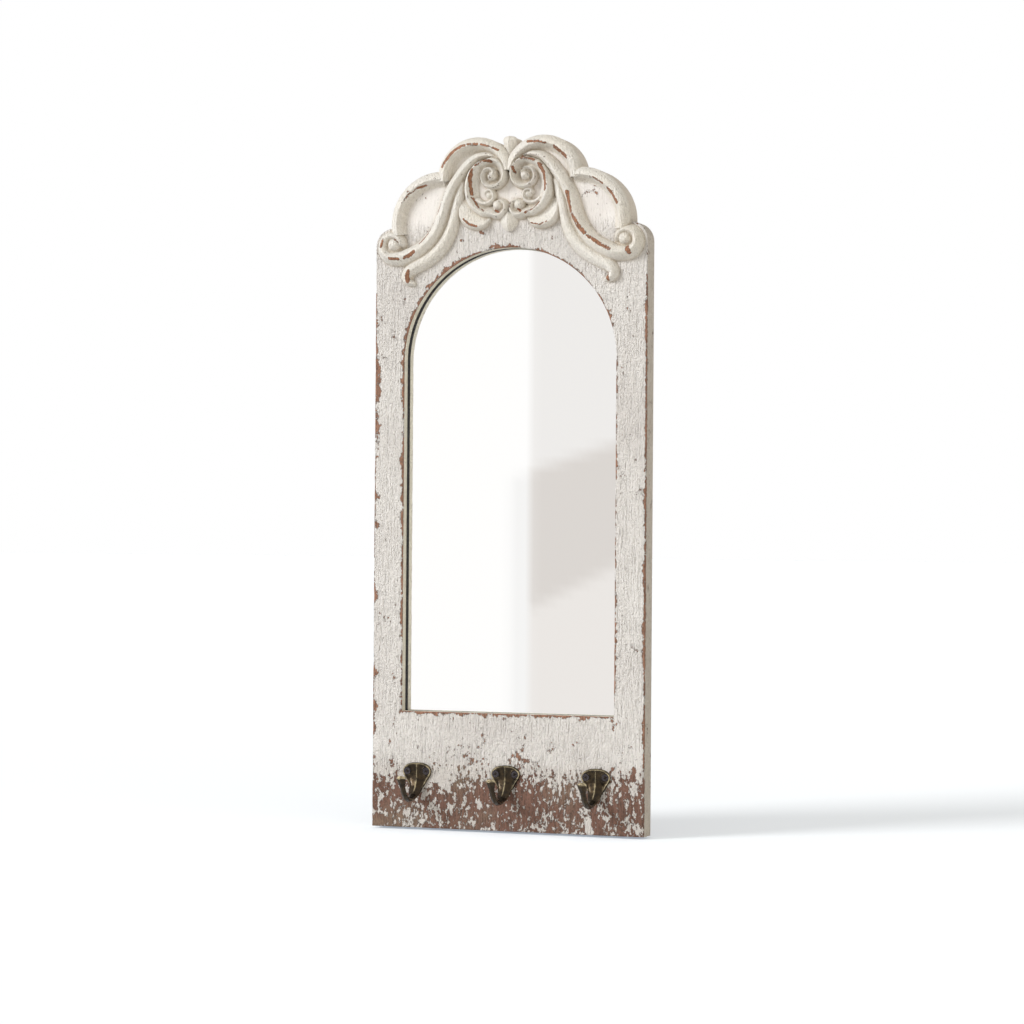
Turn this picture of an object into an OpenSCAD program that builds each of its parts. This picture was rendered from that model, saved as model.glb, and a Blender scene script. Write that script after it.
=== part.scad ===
// Wall mirror in a lobed wooden board, with carved scrolls on the crest and three coat hooks.
// The back of the wall pads is the plane y = 0 and the front faces -Y.
// Heights in the sections below are measured from the board's bottom edge. The origin is on
// the centreline of the wall plane, level with the tops of the two hanging rings.

/* [Board] */
// Width of the board
board_w = 269.2; // [256:0.1:290]
// Height of the board, from its bottom edge to the top of the upper lobes
board_h = 650.2; // [640:0.1:690]
// Thickness of the board
board_t = 22.5; // [20:0.5:28]
// Drop of the shoulders below the top of the upper lobes
shoulder_drop = 82.7; // [80:0.1:86]
// Radius of the shoulders
shoulder_r = 17.7; // [10:0.1:20]

/* [Opening and rebate] */
// Width of the arched opening
opening_w = 210; // [190:1:214]
// Height of the arched opening, from its sill to the top of the arch
opening_h = 436; // [400:1:440]
// Height of the opening's sill
sill_z = 110; // [90:1:112]
// Width of the rebate's ledge behind the opening's edge
rebate_w = 6.5; // [4:0.5:8]

/* [Mirror and back] */
// Thickness of the mirror glass
mirror_t = 3; // [2:0.5:4]
// Thickness of the packing card behind the glass
card_t = 4; // [2:0.5:5]
// Thickness of the back panel
panel_t = 3; // [2:0.5:4]
// Gap between these sheets and the rebate's walls
sheet_gap = 1; // [0.5:0.1:2]

/* [Lobes of the crest] */
// Radius of the upper lobes
upper_lobe_r = 39; // [36:0.5:41]
// Distance of the upper lobes' centres from the centreline
upper_lobe_x = 32.6; // [30:0.2:35]
// Radius of the lower lobes
lower_lobe_r = 49.3; // [46:0.1:51]
// Distance of the lower lobes' centres from the centreline
lower_lobe_x = 68.9; // [66:0.1:72]
// Drop of the lower lobes' centres below the top of the board
lower_lobe_drop = 80.4; // [76:0.2:84]

/* [Border mouldings] */
// Width of the roll moulding round each lobe
border_w = 14.5; // [11:0.5:16]
// Height of the moulding's ridge above the board
border_h = 9.5; // [6:0.5:11]
// Distance of the ridge from the lobe's edge
border_ridge = 8; // [6:0.5:9]

/* [Scrolls] */
// Height of the S-scroll's ridge above the board
s_scroll_h = 11.5; // [8:0.5:13]
// Height of the C-scroll's ridge above the board
c_scroll_h = 11.5; // [8:0.5:13]
// Height of the lower ribbon's ridge above the board
tail_h = 7.5; // [5:0.5:9]
// Height of the leaf's rim above the board
leaf_h = 7.5; // [5:0.5:9]
// Height of the drop between the C-scrolls
stem_h = 8; // [5:0.5:9]
// Height of the finial's ridge above the board
finial_h = 6; // [4:0.5:9]
// Half width of the finial's base
finial_r = 6.4; // [5:0.2:8]
// Joint left between two crest pieces that meet
seam = 0.2; // [0.1:0.05:0.4]

/* [Hooks] */
// Distance between neighbouring hooks
hook_pitch = 88.5; // [80:0.5:96]
// Height of the hooks' screws
hook_z = 53.7; // [48:0.1:60]
// Width of a hook's plate
plate_w = 28.8; // [27:0.2:34]
// Thickness of a hook's plate
plate_t = 2.6; // [2:0.1:3.5]
// Distance between a hook's two screws
hook_screw_gap = 19; // [17.5:0.5:20]
// Reach of the prong in front of the board
hook_reach = 45; // [40:0.5:52]
// Width of the prong where it rises
prong_w = 6; // [5:0.2:7.5]
// Thickness of the prong
prong_t = 4.8; // [4:0.2:6]
// Width of the prong's flared tip
tip_w = 9; // [8:0.2:11]

/* [Screws] */
// Radius of the screws' shanks
screw_r = 1.6; // [1.3:0.1:1.8]
// Radius of the screws' heads
head_r = 3.3; // [3:0.1:3.6]
// Radius of the drilled holes in the wood, which the screws' threads fill and widen
pilot_r = 1.2; // [1:0.1:1.25]
// Length of a hook's screw
hook_screw_l = 16; // [12:1:18]
// Length of a screw in the back
back_screw_l = 10; // [8:0.5:11]

/* [Wall hanging] */
// Gap between the wall and the board's back, which is the pads' thickness
wall_gap = 3.6; // [3.5:0.1:6]
// Radius of a wall pad
pad_r = 6; // [4:0.5:8]
// Distance of the lower pads' centres from the board's edges
pad_inset = 13; // [10:0.5:15]
// Distance of the hangers from the centreline, on a board of the drawn width
hanger_x = 92; // [86:0.5:95]
// Height of the D-rings' pivots
hanger_z = 556; // [550:0.5:562]
// Width of a hanger's strap
strap_w = 10; // [9:0.5:12]
// Thickness of the strap's sheet metal
strap_t = 0.8; // [0.6:0.05:0.85]
// Radius of the D-rings' wire
wire_r = 0.8; // [0.6:0.05:0.85]
// Running clearance of the wire in the strap's loop
wire_clear = 0.06; // [0.03:0.01:0.09]
// Half width of a D-ring at the middle of its wire
ring_r = 7; // [7:0.25:9]
// Length of a D-ring's straight legs
ring_leg = 4; // [3:0.5:8]

/* [Turn buttons] */
// Length of a turn button from its pivot to its tip
button_l = 20; // [17:0.5:22]
// Width of a turn button
button_w = 9; // [8:0.5:11]
// Thickness of a turn button
button_t = 1.2; // [1:0.1:1.5]
// Running clearance of a turn button on its screw
button_clear = 0.06; // [0.03:0.01:0.09]
// Distance of the pivots outside the rebate
pivot_out = 9; // [7:0.5:12]
// Distance between the upper and lower buttons on a side
button_span = 220; // [160:5:260]

/* [Hidden] */

round_fn = 96;
hull_fn = 24;
eps = 0.01;

// Levels from the wall to the front, and the depth that the three sheets fill.
back_y = -wall_gap;
front_y = back_y - board_t;
stack_t = mirror_t + card_t + panel_t;
mirror_back_y = back_y - panel_t - card_t;
mirror_front_y = back_y - stack_t;

// The arch's centre, and the rings' tops that set the origin's height.
opening_r = opening_w / 2;
arch_z = sill_z + opening_h - opening_r;
ring_top = ring_leg + ring_r - wire_r;
hang_z = hanger_z + ring_top;

// Lobe centres and the shoulders' height.
shoulder_z = board_h - shoulder_drop;
upper_lobe_z = board_h - upper_lobe_r;
lower_lobe_z = board_h - lower_lobe_drop;
finial_z = board_h - finial_r;

// The scrolls are drawn on a board of this width, top height and drop of the shoulders, and
// stretch with the board: across with its width, and up with the drop of its shoulders.
draft_w = 269.2;
draft_top = 650.2;
draft_drop = 82.7;
stretch_x = board_w / draft_w;
stretch_z = shoulder_drop / draft_drop;

// The hangers keep their distance from the board's edges.
hanger_at = hanger_x + (board_w - draft_w) / 2;

// Colours.
paint = "#e4e0d6";
cream = "#e9e5da";
bronze = "#4a4034";
steel = "#b9b8b2";

// ---------------------------------------------------------------- helpers

// Places a piece that is drawn with heights from the board's bottom edge.
module hung() {
    translate([0, 0, -hang_z]) children();
}

// Lays a drawing on the board's front: its x stays, its y goes up, its z comes forward.
module on_front() {
    hung() translate([0, front_y, 0]) rotate([90, 0, 0]) children();
}

// Lays a drawing on the board's back at (x, z): its z points to the wall.
module on_back(x, z) {
    hung() translate([x, back_y, z]) rotate([90, 0, 180]) children();
}

// Builds a piece on the right (side = 1) or its mirror image on the left (side = -1).
module to_side(side) {
    if (side > 0) children();
    else mirror([1, 0, 0]) children();
}

// A sheet with the opening's arched outline, grown by a margin, between two depths.
module arch_sheet(margin, y_low, y_high) {
    hung() translate([0, y_high, 0]) rotate([90, 0, 0])
        linear_extrude(y_high - y_low) {
            translate([-opening_r - margin, sill_z - margin])
                square([opening_w + 2 * margin, arch_z - sill_z + margin]);
            translate([0, arch_z]) circle(opening_r + margin, $fn = round_fn);
        }
}

// ---------------------------------------------------------------- paths on the crest

// Stretches a drawing of the scrolls to the board's own size, with its gaps kept open.
module crest() {
    translate([0, board_h - draft_top * stretch_z, 0]) scale([stretch_x, stretch_z, 1]) children();
}

// One point of a smooth curve through knots a, b, c, d, between b and c.
function blend(a, b, c, d, t) = 0.5 * ((2 * b) + (c - a) * t
    + (2 * a - 5 * b + 4 * c - d) * t * t + (3 * b - a - 3 * c + d) * t * t * t);

// A smooth path through all the knots, with n steps between each two.
function path(k, n) = [
    for (i = [0:len(k) - 2]) for (j = [0:n - 1])
        blend(k[max(i - 1, 0)], k[i], k[i + 1], k[min(i + 2, len(k) - 1)], j / n),
    k[len(k) - 1]
];

// A spiral about a centre: radius, angle, width and height run from the first of each pair
// to the second in n steps.
function volute(centre, r, a, w, h, n) = [
    for (i = [0:n]) let (t = i / n, q = r[0] + (r[1] - r[0]) * t, b = a[0] + (a[1] - a[0]) * t)
        [centre[0] + q * cos(b), centre[1] + q * sin(b),
         w[0] + (w[1] - w[0]) * t, h[0] + (h[1] - h[0]) * t]
];

// Direction of a path at station i.
function heading(p, i) = let (a = p[max(i - 1, 0)], b = p[min(i + 1, len(p) - 1)])
    atan2(b[1] - a[1], b[0] - a[0]);

// Cross-section of a carved ribbon: a rounded ridge that leans to one side, on a flat base.
// The far side of the ridge is hollow where its share of the height is low.
function ridge(w, h, lean, base, far) = [
    [-w / 2, base], [-w / 2, h * 0.16],
    [-w / 2 * 0.66 + lean * w * 0.30, h * far], [lean * w - w * 0.07, h],
    [lean * w + w * 0.07, h], [w / 2 * 0.66 + lean * w * 0.30, h * 0.72],
    [w / 2, h * 0.16], [w / 2, base]
];

// A ribbon swept along a path of [x, z, width, height] stations.
module ribbon(p, lean = 0, grow = 0, far = 0.72) {
    n = len(p);
    points = [
        for (i = [0:n - 1]) let (a = heading(p, i))
            for (q = ridge(p[i][2] + 2 * grow, p[i][3] + grow, lean, -grow, far))
                [p[i][0] - q[0] * sin(a), p[i][1] + q[0] * cos(a), q[1]]
    ];
    m = len(points) / n;
    sides = [
        for (i = [0:n - 2]) for (k = [0:m - 1])
            let (a = i * m + k, b = i * m + (k + 1) % m)
                each [[a, b, a + m], [b, b + m, a + m]]
    ];
    first = [for (k = [m - 1:-1:0]) k];
    last = [for (k = [0:m - 1]) (n - 1) * m + k];
    polyhedron(points, concat(sides, [first, last]), convexity = 6);
}

// A low dome with a flat base.
module dome(centre, r, h, grow = 0) {
    translate([centre[0], centre[1], -grow]) hull() {
        cylinder(h = h * 0.45 + grow, r = r + grow, $fn = hull_fn);
        cylinder(h = h * 0.86 + grow, r = r * 0.72 + grow, $fn = hull_fn);
        cylinder(h = h + 2 * grow, r = r * 0.34 + grow, $fn = hull_fn);
    }
}

// A chain of beads along a path, for curls too tight for a ribbon.
module beads(p, grow = 0) {
    for (i = [0:len(p) - 2])
        hull() {
            bead(p[i], grow);
            bead(p[i + 1], grow);
        }
}

module bead(q, grow) {
    translate([q[0], q[1], -grow]) {
        cylinder(h = q[3] * 0.4 + grow, r = q[2] / 2 + grow, $fn = 12);
        cylinder(h = q[3] + 2 * grow, r = q[2] / 5 + grow, $fn = 12);
    }
}

// ---------------------------------------------------------------- board and sheets

// Outline of the board: straight sides, round shoulders and the crest's lobes.
module board_outline() {
    inner_w = board_w - 2 * shoulder_r;
    translate([-board_w / 2, 0]) square([board_w, shoulder_z - shoulder_r]);
    translate([-inner_w / 2, 0]) square([inner_w, shoulder_z]);
    translate([-lower_lobe_x, 0]) square([2 * lower_lobe_x, upper_lobe_z]);
    translate([-finial_r, upper_lobe_z]) square([2 * finial_r, finial_z - upper_lobe_z]);
    translate([0, finial_z]) circle(finial_r, $fn = round_fn);
    for (side = [-1, 1]) {
        translate([side * inner_w / 2, shoulder_z - shoulder_r]) circle(shoulder_r, $fn = round_fn);
        translate([side * upper_lobe_x, upper_lobe_z]) circle(upper_lobe_r, $fn = round_fn);
        translate([side * lower_lobe_x, lower_lobe_z]) circle(lower_lobe_r, $fn = round_fn);
    }
}

module frame_board() {
    color(paint) difference() {
        hung() translate([0, back_y, 0]) rotate([90, 0, 0])
            linear_extrude(board_t) board_outline();
        arch_sheet(0, front_y - 1, back_y + 1);
        arch_sheet(rebate_w, mirror_front_y, back_y + 1);
        at_hook_screws() screw_hole(hook_screw_l - plate_t);
        at_back_screws() screw_hole(back_screw_l - button_t);
        at_hanger_screws() screw_hole(back_screw_l - 2 * strap_t);
    }
}

module mirror_glass() {
    color("white") arch_sheet(rebate_w - sheet_gap, mirror_front_y, mirror_back_y);
}

module filler_card() {
    color("tan") arch_sheet(rebate_w - sheet_gap, mirror_back_y, back_y - panel_t);
}

module back_panel() {
    color("peru") arch_sheet(rebate_w - sheet_gap, back_y - panel_t, back_y);
}

// ---------------------------------------------------------------- border mouldings

// Section of the roll moulding against the radius from its lobe's centre: a convex outer
// face up to the ridge, then a hollow inner face.
function roll(r, g) = [
    [r - border_w - g, -g], [r - border_w - g, 0.5 + g],
    for (a = [0:22.5:90]) [r - border_w + (border_w - border_ridge - 1) * sin(a) - g,
                           0.5 + g + (border_h - 0.5) * (1 - cos(a))],
    for (a = [90:-15:0]) [r - border_ridge + border_ridge * cos(a) + g,
                          border_h * (0.15 + 0.85 * sin(a)) + g],
    [r + g, -g]
];

module roll_moulding(x, z, r, a, g) {
    translate([x, z, 0]) rotate([0, 0, a[0]])
        rotate_extrude(angle = a[1] - a[0], $fn = 72) polygon(roll(r, g));
}

module upper_roll(g = 0) {
    roll_moulding(upper_lobe_x, upper_lobe_z, upper_lobe_r, [-3, 168], g);
}

module lower_roll() {
    roll_moulding(lower_lobe_x, lower_lobe_z, lower_lobe_r, [-14, 97], 0);
}

// Everything beyond the centreline, less half a joint.
module other_side() {
    translate([seam / 2 - board_w, 0, -board_w / 2]) cube([board_w, board_h * 2, board_w]);
}

module upper_border(side) {
    color(cream) on_front() to_side(side) difference() {
        upper_roll();
        other_side();
        s_scroll_form(seam);
        c_scroll_form(seam);
    }
}

module lower_border(side) {
    color(cream) on_front() to_side(side) difference() {
        lower_roll();
        upper_roll(seam);
        s_scroll_form(seam);
    }
}

// ---------------------------------------------------------------- S-scrolls

// The long ribbon: from the top of the C-scroll down to the shoulder, then one turn of a
// volute round its eye. Knots are [x, z, width, share of the full height], as drawn.
s_knots = [
    [9, 629, 4, 0.35], [20, 633.2, 6, 0.55], [31.5, 631.2, 8.5, 0.8], [41, 624.3, 10.5, 0.92],
    [49, 614.3, 11.5, 1], [56, 604, 12, 1], [61.8, 592, 12.2, 1], [65.8, 579, 12.6, 1],
    [70.4, 567.2, 13, 1], [77.4, 555.8, 14, 1], [87, 546.6, 15, 1], [98, 541, 15.5, 1],
    [107, 538.7, 14, 1]
];
s_turn = volute([115.3, 550], [11.4, 8.6], [270, 528], [12.6, 6.5], [1, 0.8], 18);

// The lower ribbon, which shows beside the long one and ends in a curled tail.
tail_knots = [
    [46, 607, 8, 0.7], [49.5, 597, 10, 0.85], [52.5, 585, 10.5, 0.95], [55.3, 573, 11, 1],
    [58.8, 562.5, 12, 1], [64.3, 552.5, 13, 1], [72, 543.6, 13.5, 1], [81.5, 536.6, 13.5, 1],
    [91, 531.4, 13, 1], [98.6, 526.8, 12, 1.08], [102.4, 521, 10.5, 1.06],
    [100.4, 516.2, 8.5, 0.95], [96, 514.2, 5, 0.7]
];

function at_height(p, h) = [for (q = p) [q[0], q[1], q[2], q[3] * h]];

module s_scroll_form(g = 0) {
    crest() {
        ribbon(at_height(concat(path(s_knots, 2), s_turn), s_scroll_h), -0.17, g);
        ribbon(at_height(path(tail_knots, 2), tail_h), 0, g);
        dome([114.3, 551.2], 6.6, s_scroll_h * 0.97, g);
    }
}

module s_scroll(side) {
    color(cream) on_front() to_side(side) difference() {
        s_scroll_form();
        other_side();
        c_scroll_form(seam);
    }
}

// ---------------------------------------------------------------- C-scrolls

// The back of the C, from its lower bulb up and over to the upper volute.
c_knots = [
    [24.5, 579.6, 11, 0.92], [32.2, 585.6, 12.3, 0.98], [36.8, 594.3, 13, 1],
    [37.6, 604.4, 13, 1], [35, 614.2, 12.2, 1], [28.4, 622.6, 10.3, 1]
];
c_top_turn = volute([17.3, 613.9], [12.6, 12.1], [90, 180], [8.6, 8.8], [0.98, 0.95], 6);
c_in_turn = volute([17.3, 613.9], [11.9, 7.2], [195, 378], [8.6, 5.4], [0.94, 0.8], 11);
c_bulb_turn = volute([9.4, 584.8], [4.2, 8.6], [100, 318], [5, 10.3], [0.75, 0.9], 12);

// The small curl inside the C, and the leaf below it.
curl_knots = [
    [31, 590.4, 6.5, 0.6], [26.6, 587.9, 5.6, 0.6], [22, 587.4, 5, 0.6], [17.9, 588.9, 4.6, 0.6],
    [15.3, 592.2, 4.4, 0.6], [15.1, 596.2, 4.2, 0.6], [17.4, 599.4, 4, 0.6],
    [21.2, 599.6, 3.8, 0.57], [23.2, 597, 3.4, 0.52]
];
leaf_knots = [
    [45.6, 588.8, 6.5, 0.4], [44, 583, 14, 0.8], [40.6, 576.2, 17.5, 1],
    [35.6, 572.6, 17.5, 1], [29.6, 571, 16, 1], [24.8, 571.2, 12, 0.9], [21.4, 572.6, 7, 0.6]
];

module c_scroll_form(g = 0) {
    turns = concat(c_bulb_turn, path(c_knots, 3), c_top_turn, c_in_turn);
    crest() {
        ribbon(at_height(turns, c_scroll_h), 0, g);
        dome([17.3, 613.7], 6.4, c_scroll_h * 0.94, g);
        dome([10.8, 585.6], 3.4, c_scroll_h * 0.6, g);
        dome([19.5, 595], 3.3, c_scroll_h * 0.58, g);
        beads(at_height(curl_knots, c_scroll_h), g);
        ribbon(at_height(path(leaf_knots, 2), leaf_h), 0.3, g, 0.42);
    }
}

module c_scroll(side) {
    color(cream) on_front() to_side(side) difference() {
        c_scroll_form();
        other_side();
    }
}

// ---------------------------------------------------------------- stem and finial

stem_knots = [
    [0, 579, 9, 0.7], [0, 574, 16.5, 0.95], [0, 569.4, 17, 1], [0, 564.4, 12, 0.8],
    [0, 561, 5, 0.45]
];

module crest_stem() {
    color(cream) on_front() difference() {
        crest() ribbon(at_height(path(stem_knots, 2), stem_h));
        for (side = [-1, 1]) to_side(side) c_scroll_form(seam);
    }
}

// A bud with a ridge down its middle, set in the notch between the upper lobes.
module crest_finial() {
    color(cream) on_front() difference() {
        translate([0, finial_z]) hull() {
            translate([0, -finial_r]) cylinder(h = finial_h * 0.4, r = finial_r * 0.8, $fn = hull_fn);
            cylinder(h = finial_h * 0.4, r = finial_r, $fn = hull_fn);
            translate([0, -finial_r, finial_h / 2])
                cube([0.8, finial_r * 2.6, finial_h], center = true);
        }
        for (side = [-1, 1]) to_side(side) upper_roll(seam);
    }
}

// ---------------------------------------------------------------- hooks

// Right half of the plate's outline, from the top of its dome down to the stem, for a plate
// of the draft width, measured from the line of its screws.
plate_draft_w = 28.8;
plate_knots = [
    [0, 8.1], [6, 7.6], [11.2, 5.4], [14, 1.4], [13.7, -3.2], [10.4, -7.3], [7.4, -11.2],
    [4.6, -14.4], [0, -15.8]
];
plate_half = [for (q = path(plate_knots, 4)) [q[0] * plate_w / plate_draft_w, q[1]]];
plate_outline = concat(plate_half, [for (i = [len(plate_half) - 2:-1:1])
    [-plate_half[i][0], plate_half[i][1]]]);

// Stations of the prong: [distance in front of the board as a share of its reach,
// height above the screws, width as a share of the rising part's, thickness share].
prong_knots = [
    [0.03, -0.5, 2.1, 0.35], [0.048, -6, 2.05, 0.6], [0.09, -12, 1.8, 0.9],
    [0.175, -18, 1.5, 1], [0.31, -22.9, 1.25, 1], [0.47, -24.9, 1.12, 1],
    [0.63, -23, 1.03, 1], [0.755, -18.1, 1, 1], [0.84, -11.6, 1, 1]
];
tip_stations = [
    [0.882, -7, 0.5, 1], [0.91, -4.6, 0.85, 1.08], [0.928, -3.1, 1, 1.12], [0.938, -2.2, 0.8, 0.95],
    [0.944, -1.7, 0.4, 0.5]
];

// Section of the prong: an oval with a faint ridge along its outer side.
outer_ridge = 1.12;
function oval(w, t) = [for (a = [0:30:330])
    [cos(a) * w / 2, sin(a) * t / 2 * (a == 270 ? outer_ridge : 1)]];

// The prong's stations for a length of the path, and the foremost point that they reach.
function prong_path(length) = concat(
    [for (q = path(prong_knots, 2)) [q[0] * length, q[1], q[2] * prong_w, q[3] * prong_t]],
    [for (q = tip_stations) [q[0] * length, q[1],
        prong_w + (tip_w - prong_w) * q[2] - (q[2] < 0.5 ? prong_w * 0.3 : 0), q[3] * prong_t]]
);
function foremost(p) = max([for (i = [0:len(p) - 1])
    p[i][0] + p[i][3] / 2 * outer_ridge * sin(heading(p, i))]);

module prong() {
    p = prong_path(2 * hook_reach - foremost(prong_path(hook_reach)));
    n = len(p);
    points = [
        for (i = [0:n - 1]) let (a = heading(p, i))
            for (q = oval(p[i][2], p[i][3]))
                [q[0], -p[i][0] + q[1] * sin(a), p[i][1] + q[1] * cos(a)]
    ];
    m = len(points) / n;
    sides = [
        for (i = [0:n - 2]) for (k = [0:m - 1])
            let (a = i * m + k, b = i * m + (k + 1) % m)
                each [[a, a + m, b], [b, a + m, b + m]]
    ];
    first = [for (k = [0:m - 1]) k];
    last = [for (k = [m - 1:-1:0]) (n - 1) * m + k];
    polyhedron(points, concat(sides, [first, last]), convexity = 6);
}

// One hook, centred on x, with its plate flat on the board.
module hook(x) {
    color(bronze) hung() translate([x, front_y, hook_z]) {
        difference() {
            rotate([90, 0, 0]) {
                linear_extrude(plate_t * 0.6) polygon(plate_outline);
                linear_extrude(plate_t)
                    polygon([for (q = plate_outline) [q[0] * 0.93, q[1] * 0.93]]);
            }
            for (side = [-1, 1]) translate([side * hook_screw_gap / 2, 0, 0]) rotate([90, 0, 0]) {
                translate([0, 0, -1]) cylinder(h = plate_t + 2, r = screw_r + 0.1, $fn = 32);
                translate([0, 0, plate_t - head_r + screw_r])
                    cylinder(h = head_r, r1 = screw_r + 0.1, r2 = 2 * head_r - screw_r + 0.1, $fn = 32);
            }
        }
        prong();
    }
}

// Calls its children at each hook's two screws, with z pointing out of the board.
module at_hook_screws() {
    hung() for (k = [-1, 0, 1]) for (side = [-1, 1])
        translate([k * hook_pitch + side * hook_screw_gap / 2, front_y, hook_z])
            rotate([90, 0, 0]) children();
}

// A drilled hole of a screw that goes this deep into the wood.
module screw_hole(depth) {
    translate([0, 0, -depth]) cylinder(h = depth + 1, r = pilot_r, $fn = 32);
}

// Cross-shaped recess in a screw's head, with its mouth at z = 0.
module cross_recess() {
    for (a = [0, 90]) rotate([0, 0, a + 20])
        translate([-head_r * 0.55, -0.45, -1]) cube([head_r * 1.1, 0.9, 2]);
}

// A countersunk screw whose head is level with z = 0.
module countersunk_screw(length) {
    difference() {
        rotate_extrude($fn = 32) polygon([
            [0, -length], [screw_r * 0.4, -length], [screw_r, -length + 2 * screw_r],
            [screw_r, -head_r + screw_r], [head_r, 0], [0, 0]
        ]);
        cross_recess();
    }
}

// A pan-head screw whose head rests on z = 0.
module pan_screw(length, head_h) {
    difference() {
        rotate_extrude($fn = 32) polygon([
            [0, -length], [screw_r * 0.4, -length], [screw_r, -length + 2 * screw_r],
            [screw_r, 0], [head_r, 0], [head_r, head_h * 0.45], [head_r * 0.7, head_h], [0, head_h]
        ]);
        translate([0, 0, head_h]) cross_recess();
    }
}

module hook_screws() {
    color(steel) at_hook_screws() translate([0, 0, plate_t]) countersunk_screw(hook_screw_l);
}

// ---------------------------------------------------------------- turn buttons

pan_h = 1.5;
// Free play under the head of a turn button's screw.
button_play = 0.1;

// Pivots of the six buttons as [x, z, turn of the arm], from the opening's own sizes. The arm
// points to the middle of the panel.
side_x = opening_r + rebate_w + pivot_out;
mid_z = sill_z + (opening_h - opening_r) / 2;
top_pivot = [0, arch_z + side_x, -90];
bottom_pivot = [0, sill_z - rebate_w - pivot_out, 90];

module on_pivot(p) {
    on_back(p[0], p[1]) rotate([0, 0, p[2]]) children();
}

// A flat oblong button with a thumb ridge near its tip, on z = 0.
module turn_button() {
    color(steel) difference() {
        union() {
            cylinder(h = button_t, r = button_w / 2 + 1, $fn = 48);
            translate([0, -button_w / 2, 0]) cube([button_l - button_w / 2, button_w, button_t]);
            translate([button_l - button_w / 2, 0, 0]) cylinder(h = button_t, r = button_w / 2, $fn = 48);
            translate([button_l - 5, -button_w * 0.35, button_t - eps])
                cube([1.2, button_w * 0.7, 0.7 + eps]);
        }
        translate([0, 0, -1]) cylinder(h = button_t + 2, r = screw_r + button_clear, $fn = 48);
    }
}

// On the back, x runs from the viewer's right to left, so an arm at 0 degrees points to -X.
module side_button(side, level) {
    on_pivot([side * side_x, mid_z + level * button_span / 2, side > 0 ? 0 : 180]) turn_button();
}

module at_back_screws() {
    for (p = [top_pivot, bottom_pivot]) on_pivot(p) children();
    for (side = [-1, 1]) for (level = [-1, 1])
        on_pivot([side * side_x, mid_z + level * button_span / 2, 0]) children();
}

module button_screws() {
    color(steel) at_back_screws() translate([0, 0, button_t + button_play])
        pan_screw(back_screw_l, pan_h);
}

// ---------------------------------------------------------------- wall hangers

// Radius of the strap's loop, and the distance from it to the strap's screw.
loop_r = wire_r + wire_clear + strap_t;
strap_screw = ring_top + 5.5;

// A folded strap: its loop is round the origin, its leg runs down the board.
module hanger_strap(side) {
    color(steel) on_back(side * hanger_at, hanger_z) difference() {
        union() {
            translate([-strap_w / 2, 0, loop_r]) rotate([0, 90, 0])
                cylinder(h = strap_w, r = loop_r, $fn = 48);
            translate([-strap_w / 2, -strap_screw, 0]) cube([strap_w, strap_screw, 2 * strap_t]);
            translate([0, -strap_screw, 0]) cylinder(h = 2 * strap_t, r = strap_w / 2, $fn = 48);
        }
        translate([-strap_w / 2 - 1, 0, loop_r]) rotate([0, 90, 0])
            cylinder(h = strap_w + 2, r = wire_r + wire_clear, $fn = 48);
        translate([0, -strap_screw, -1]) cylinder(h = 2 * strap_t + 2, r = screw_r + 0.1, $fn = 32);
    }
}

// A D-ring of round wire that stands up from its straight bar.
module hanger_ring(side) {
    color(steel) on_back(side * hanger_at, hanger_z) translate([0, 0, loop_r]) {
        translate([-ring_r, 0, 0]) rotate([0, 90, 0]) cylinder(h = 2 * ring_r, r = wire_r, $fn = 32);
        for (k = [-1, 1]) translate([k * ring_r, 0, 0]) {
            sphere(wire_r, $fn = 32);
            rotate([-90, 0, 0]) cylinder(h = ring_leg, r = wire_r, $fn = 32);
        }
        translate([0, ring_leg, 0]) rotate_extrude(angle = 180, $fn = 64)
            translate([ring_r, 0]) circle(wire_r, $fn = 32);
    }
}

module at_hanger_screws() {
    for (side = [-1, 1]) on_back(side * hanger_at, hanger_z - strap_screw) children();
}

module hanger_screws() {
    color(steel) at_hanger_screws() translate([0, 0, 2 * strap_t]) pan_screw(back_screw_l, pan_h);
}

// Four round pads: two near the lower corners and two behind the upper lobes.
module wall_pads() {
    color("dimgray") for (side = [-1, 1])
        for (p = [[board_w / 2 - pad_inset, pad_inset], [upper_lobe_x + 14, upper_lobe_z + 12]])
            on_back(side * p[0], p[1]) cylinder(h = wall_gap, r = pad_r, $fn = 48);
}

// ---------------------------------------------------------------- nodes

frame_board();
mirror_glass();
filler_card();
back_panel();
upper_border(-1);  // upper_border_left
upper_border(1);  // upper_border_right
lower_border(-1);  // lower_border_left
lower_border(1);  // lower_border_right
s_scroll(-1);  // s_scroll_left
s_scroll(1);  // s_scroll_right
c_scroll(-1);  // c_scroll_left
c_scroll(1);  // c_scroll_right
crest_stem();
crest_finial();
hook(-hook_pitch);  // hook_left
hook(0);  // hook_middle
hook(hook_pitch);  // hook_right
hook_screws();
on_pivot(top_pivot) turn_button();  // turn_button_top
on_pivot(bottom_pivot) turn_button();  // turn_button_bottom
side_button(-1, 1);  // turn_button_upper_left
side_button(-1, -1);  // turn_button_lower_left
side_button(1, 1);  // turn_button_upper_right
side_button(1, -1);  // turn_button_lower_right
button_screws();
hanger_strap(-1);  // hanger_strap_left
hanger_strap(1);  // hanger_strap_right
hanger_ring(-1);  // hanger_ring_left
hanger_ring(1);  // hanger_ring_right
hanger_screws();
wall_pads();
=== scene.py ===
"""Mirror with hooks: carved crest, worn paint and cast hooks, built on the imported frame."""

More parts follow.
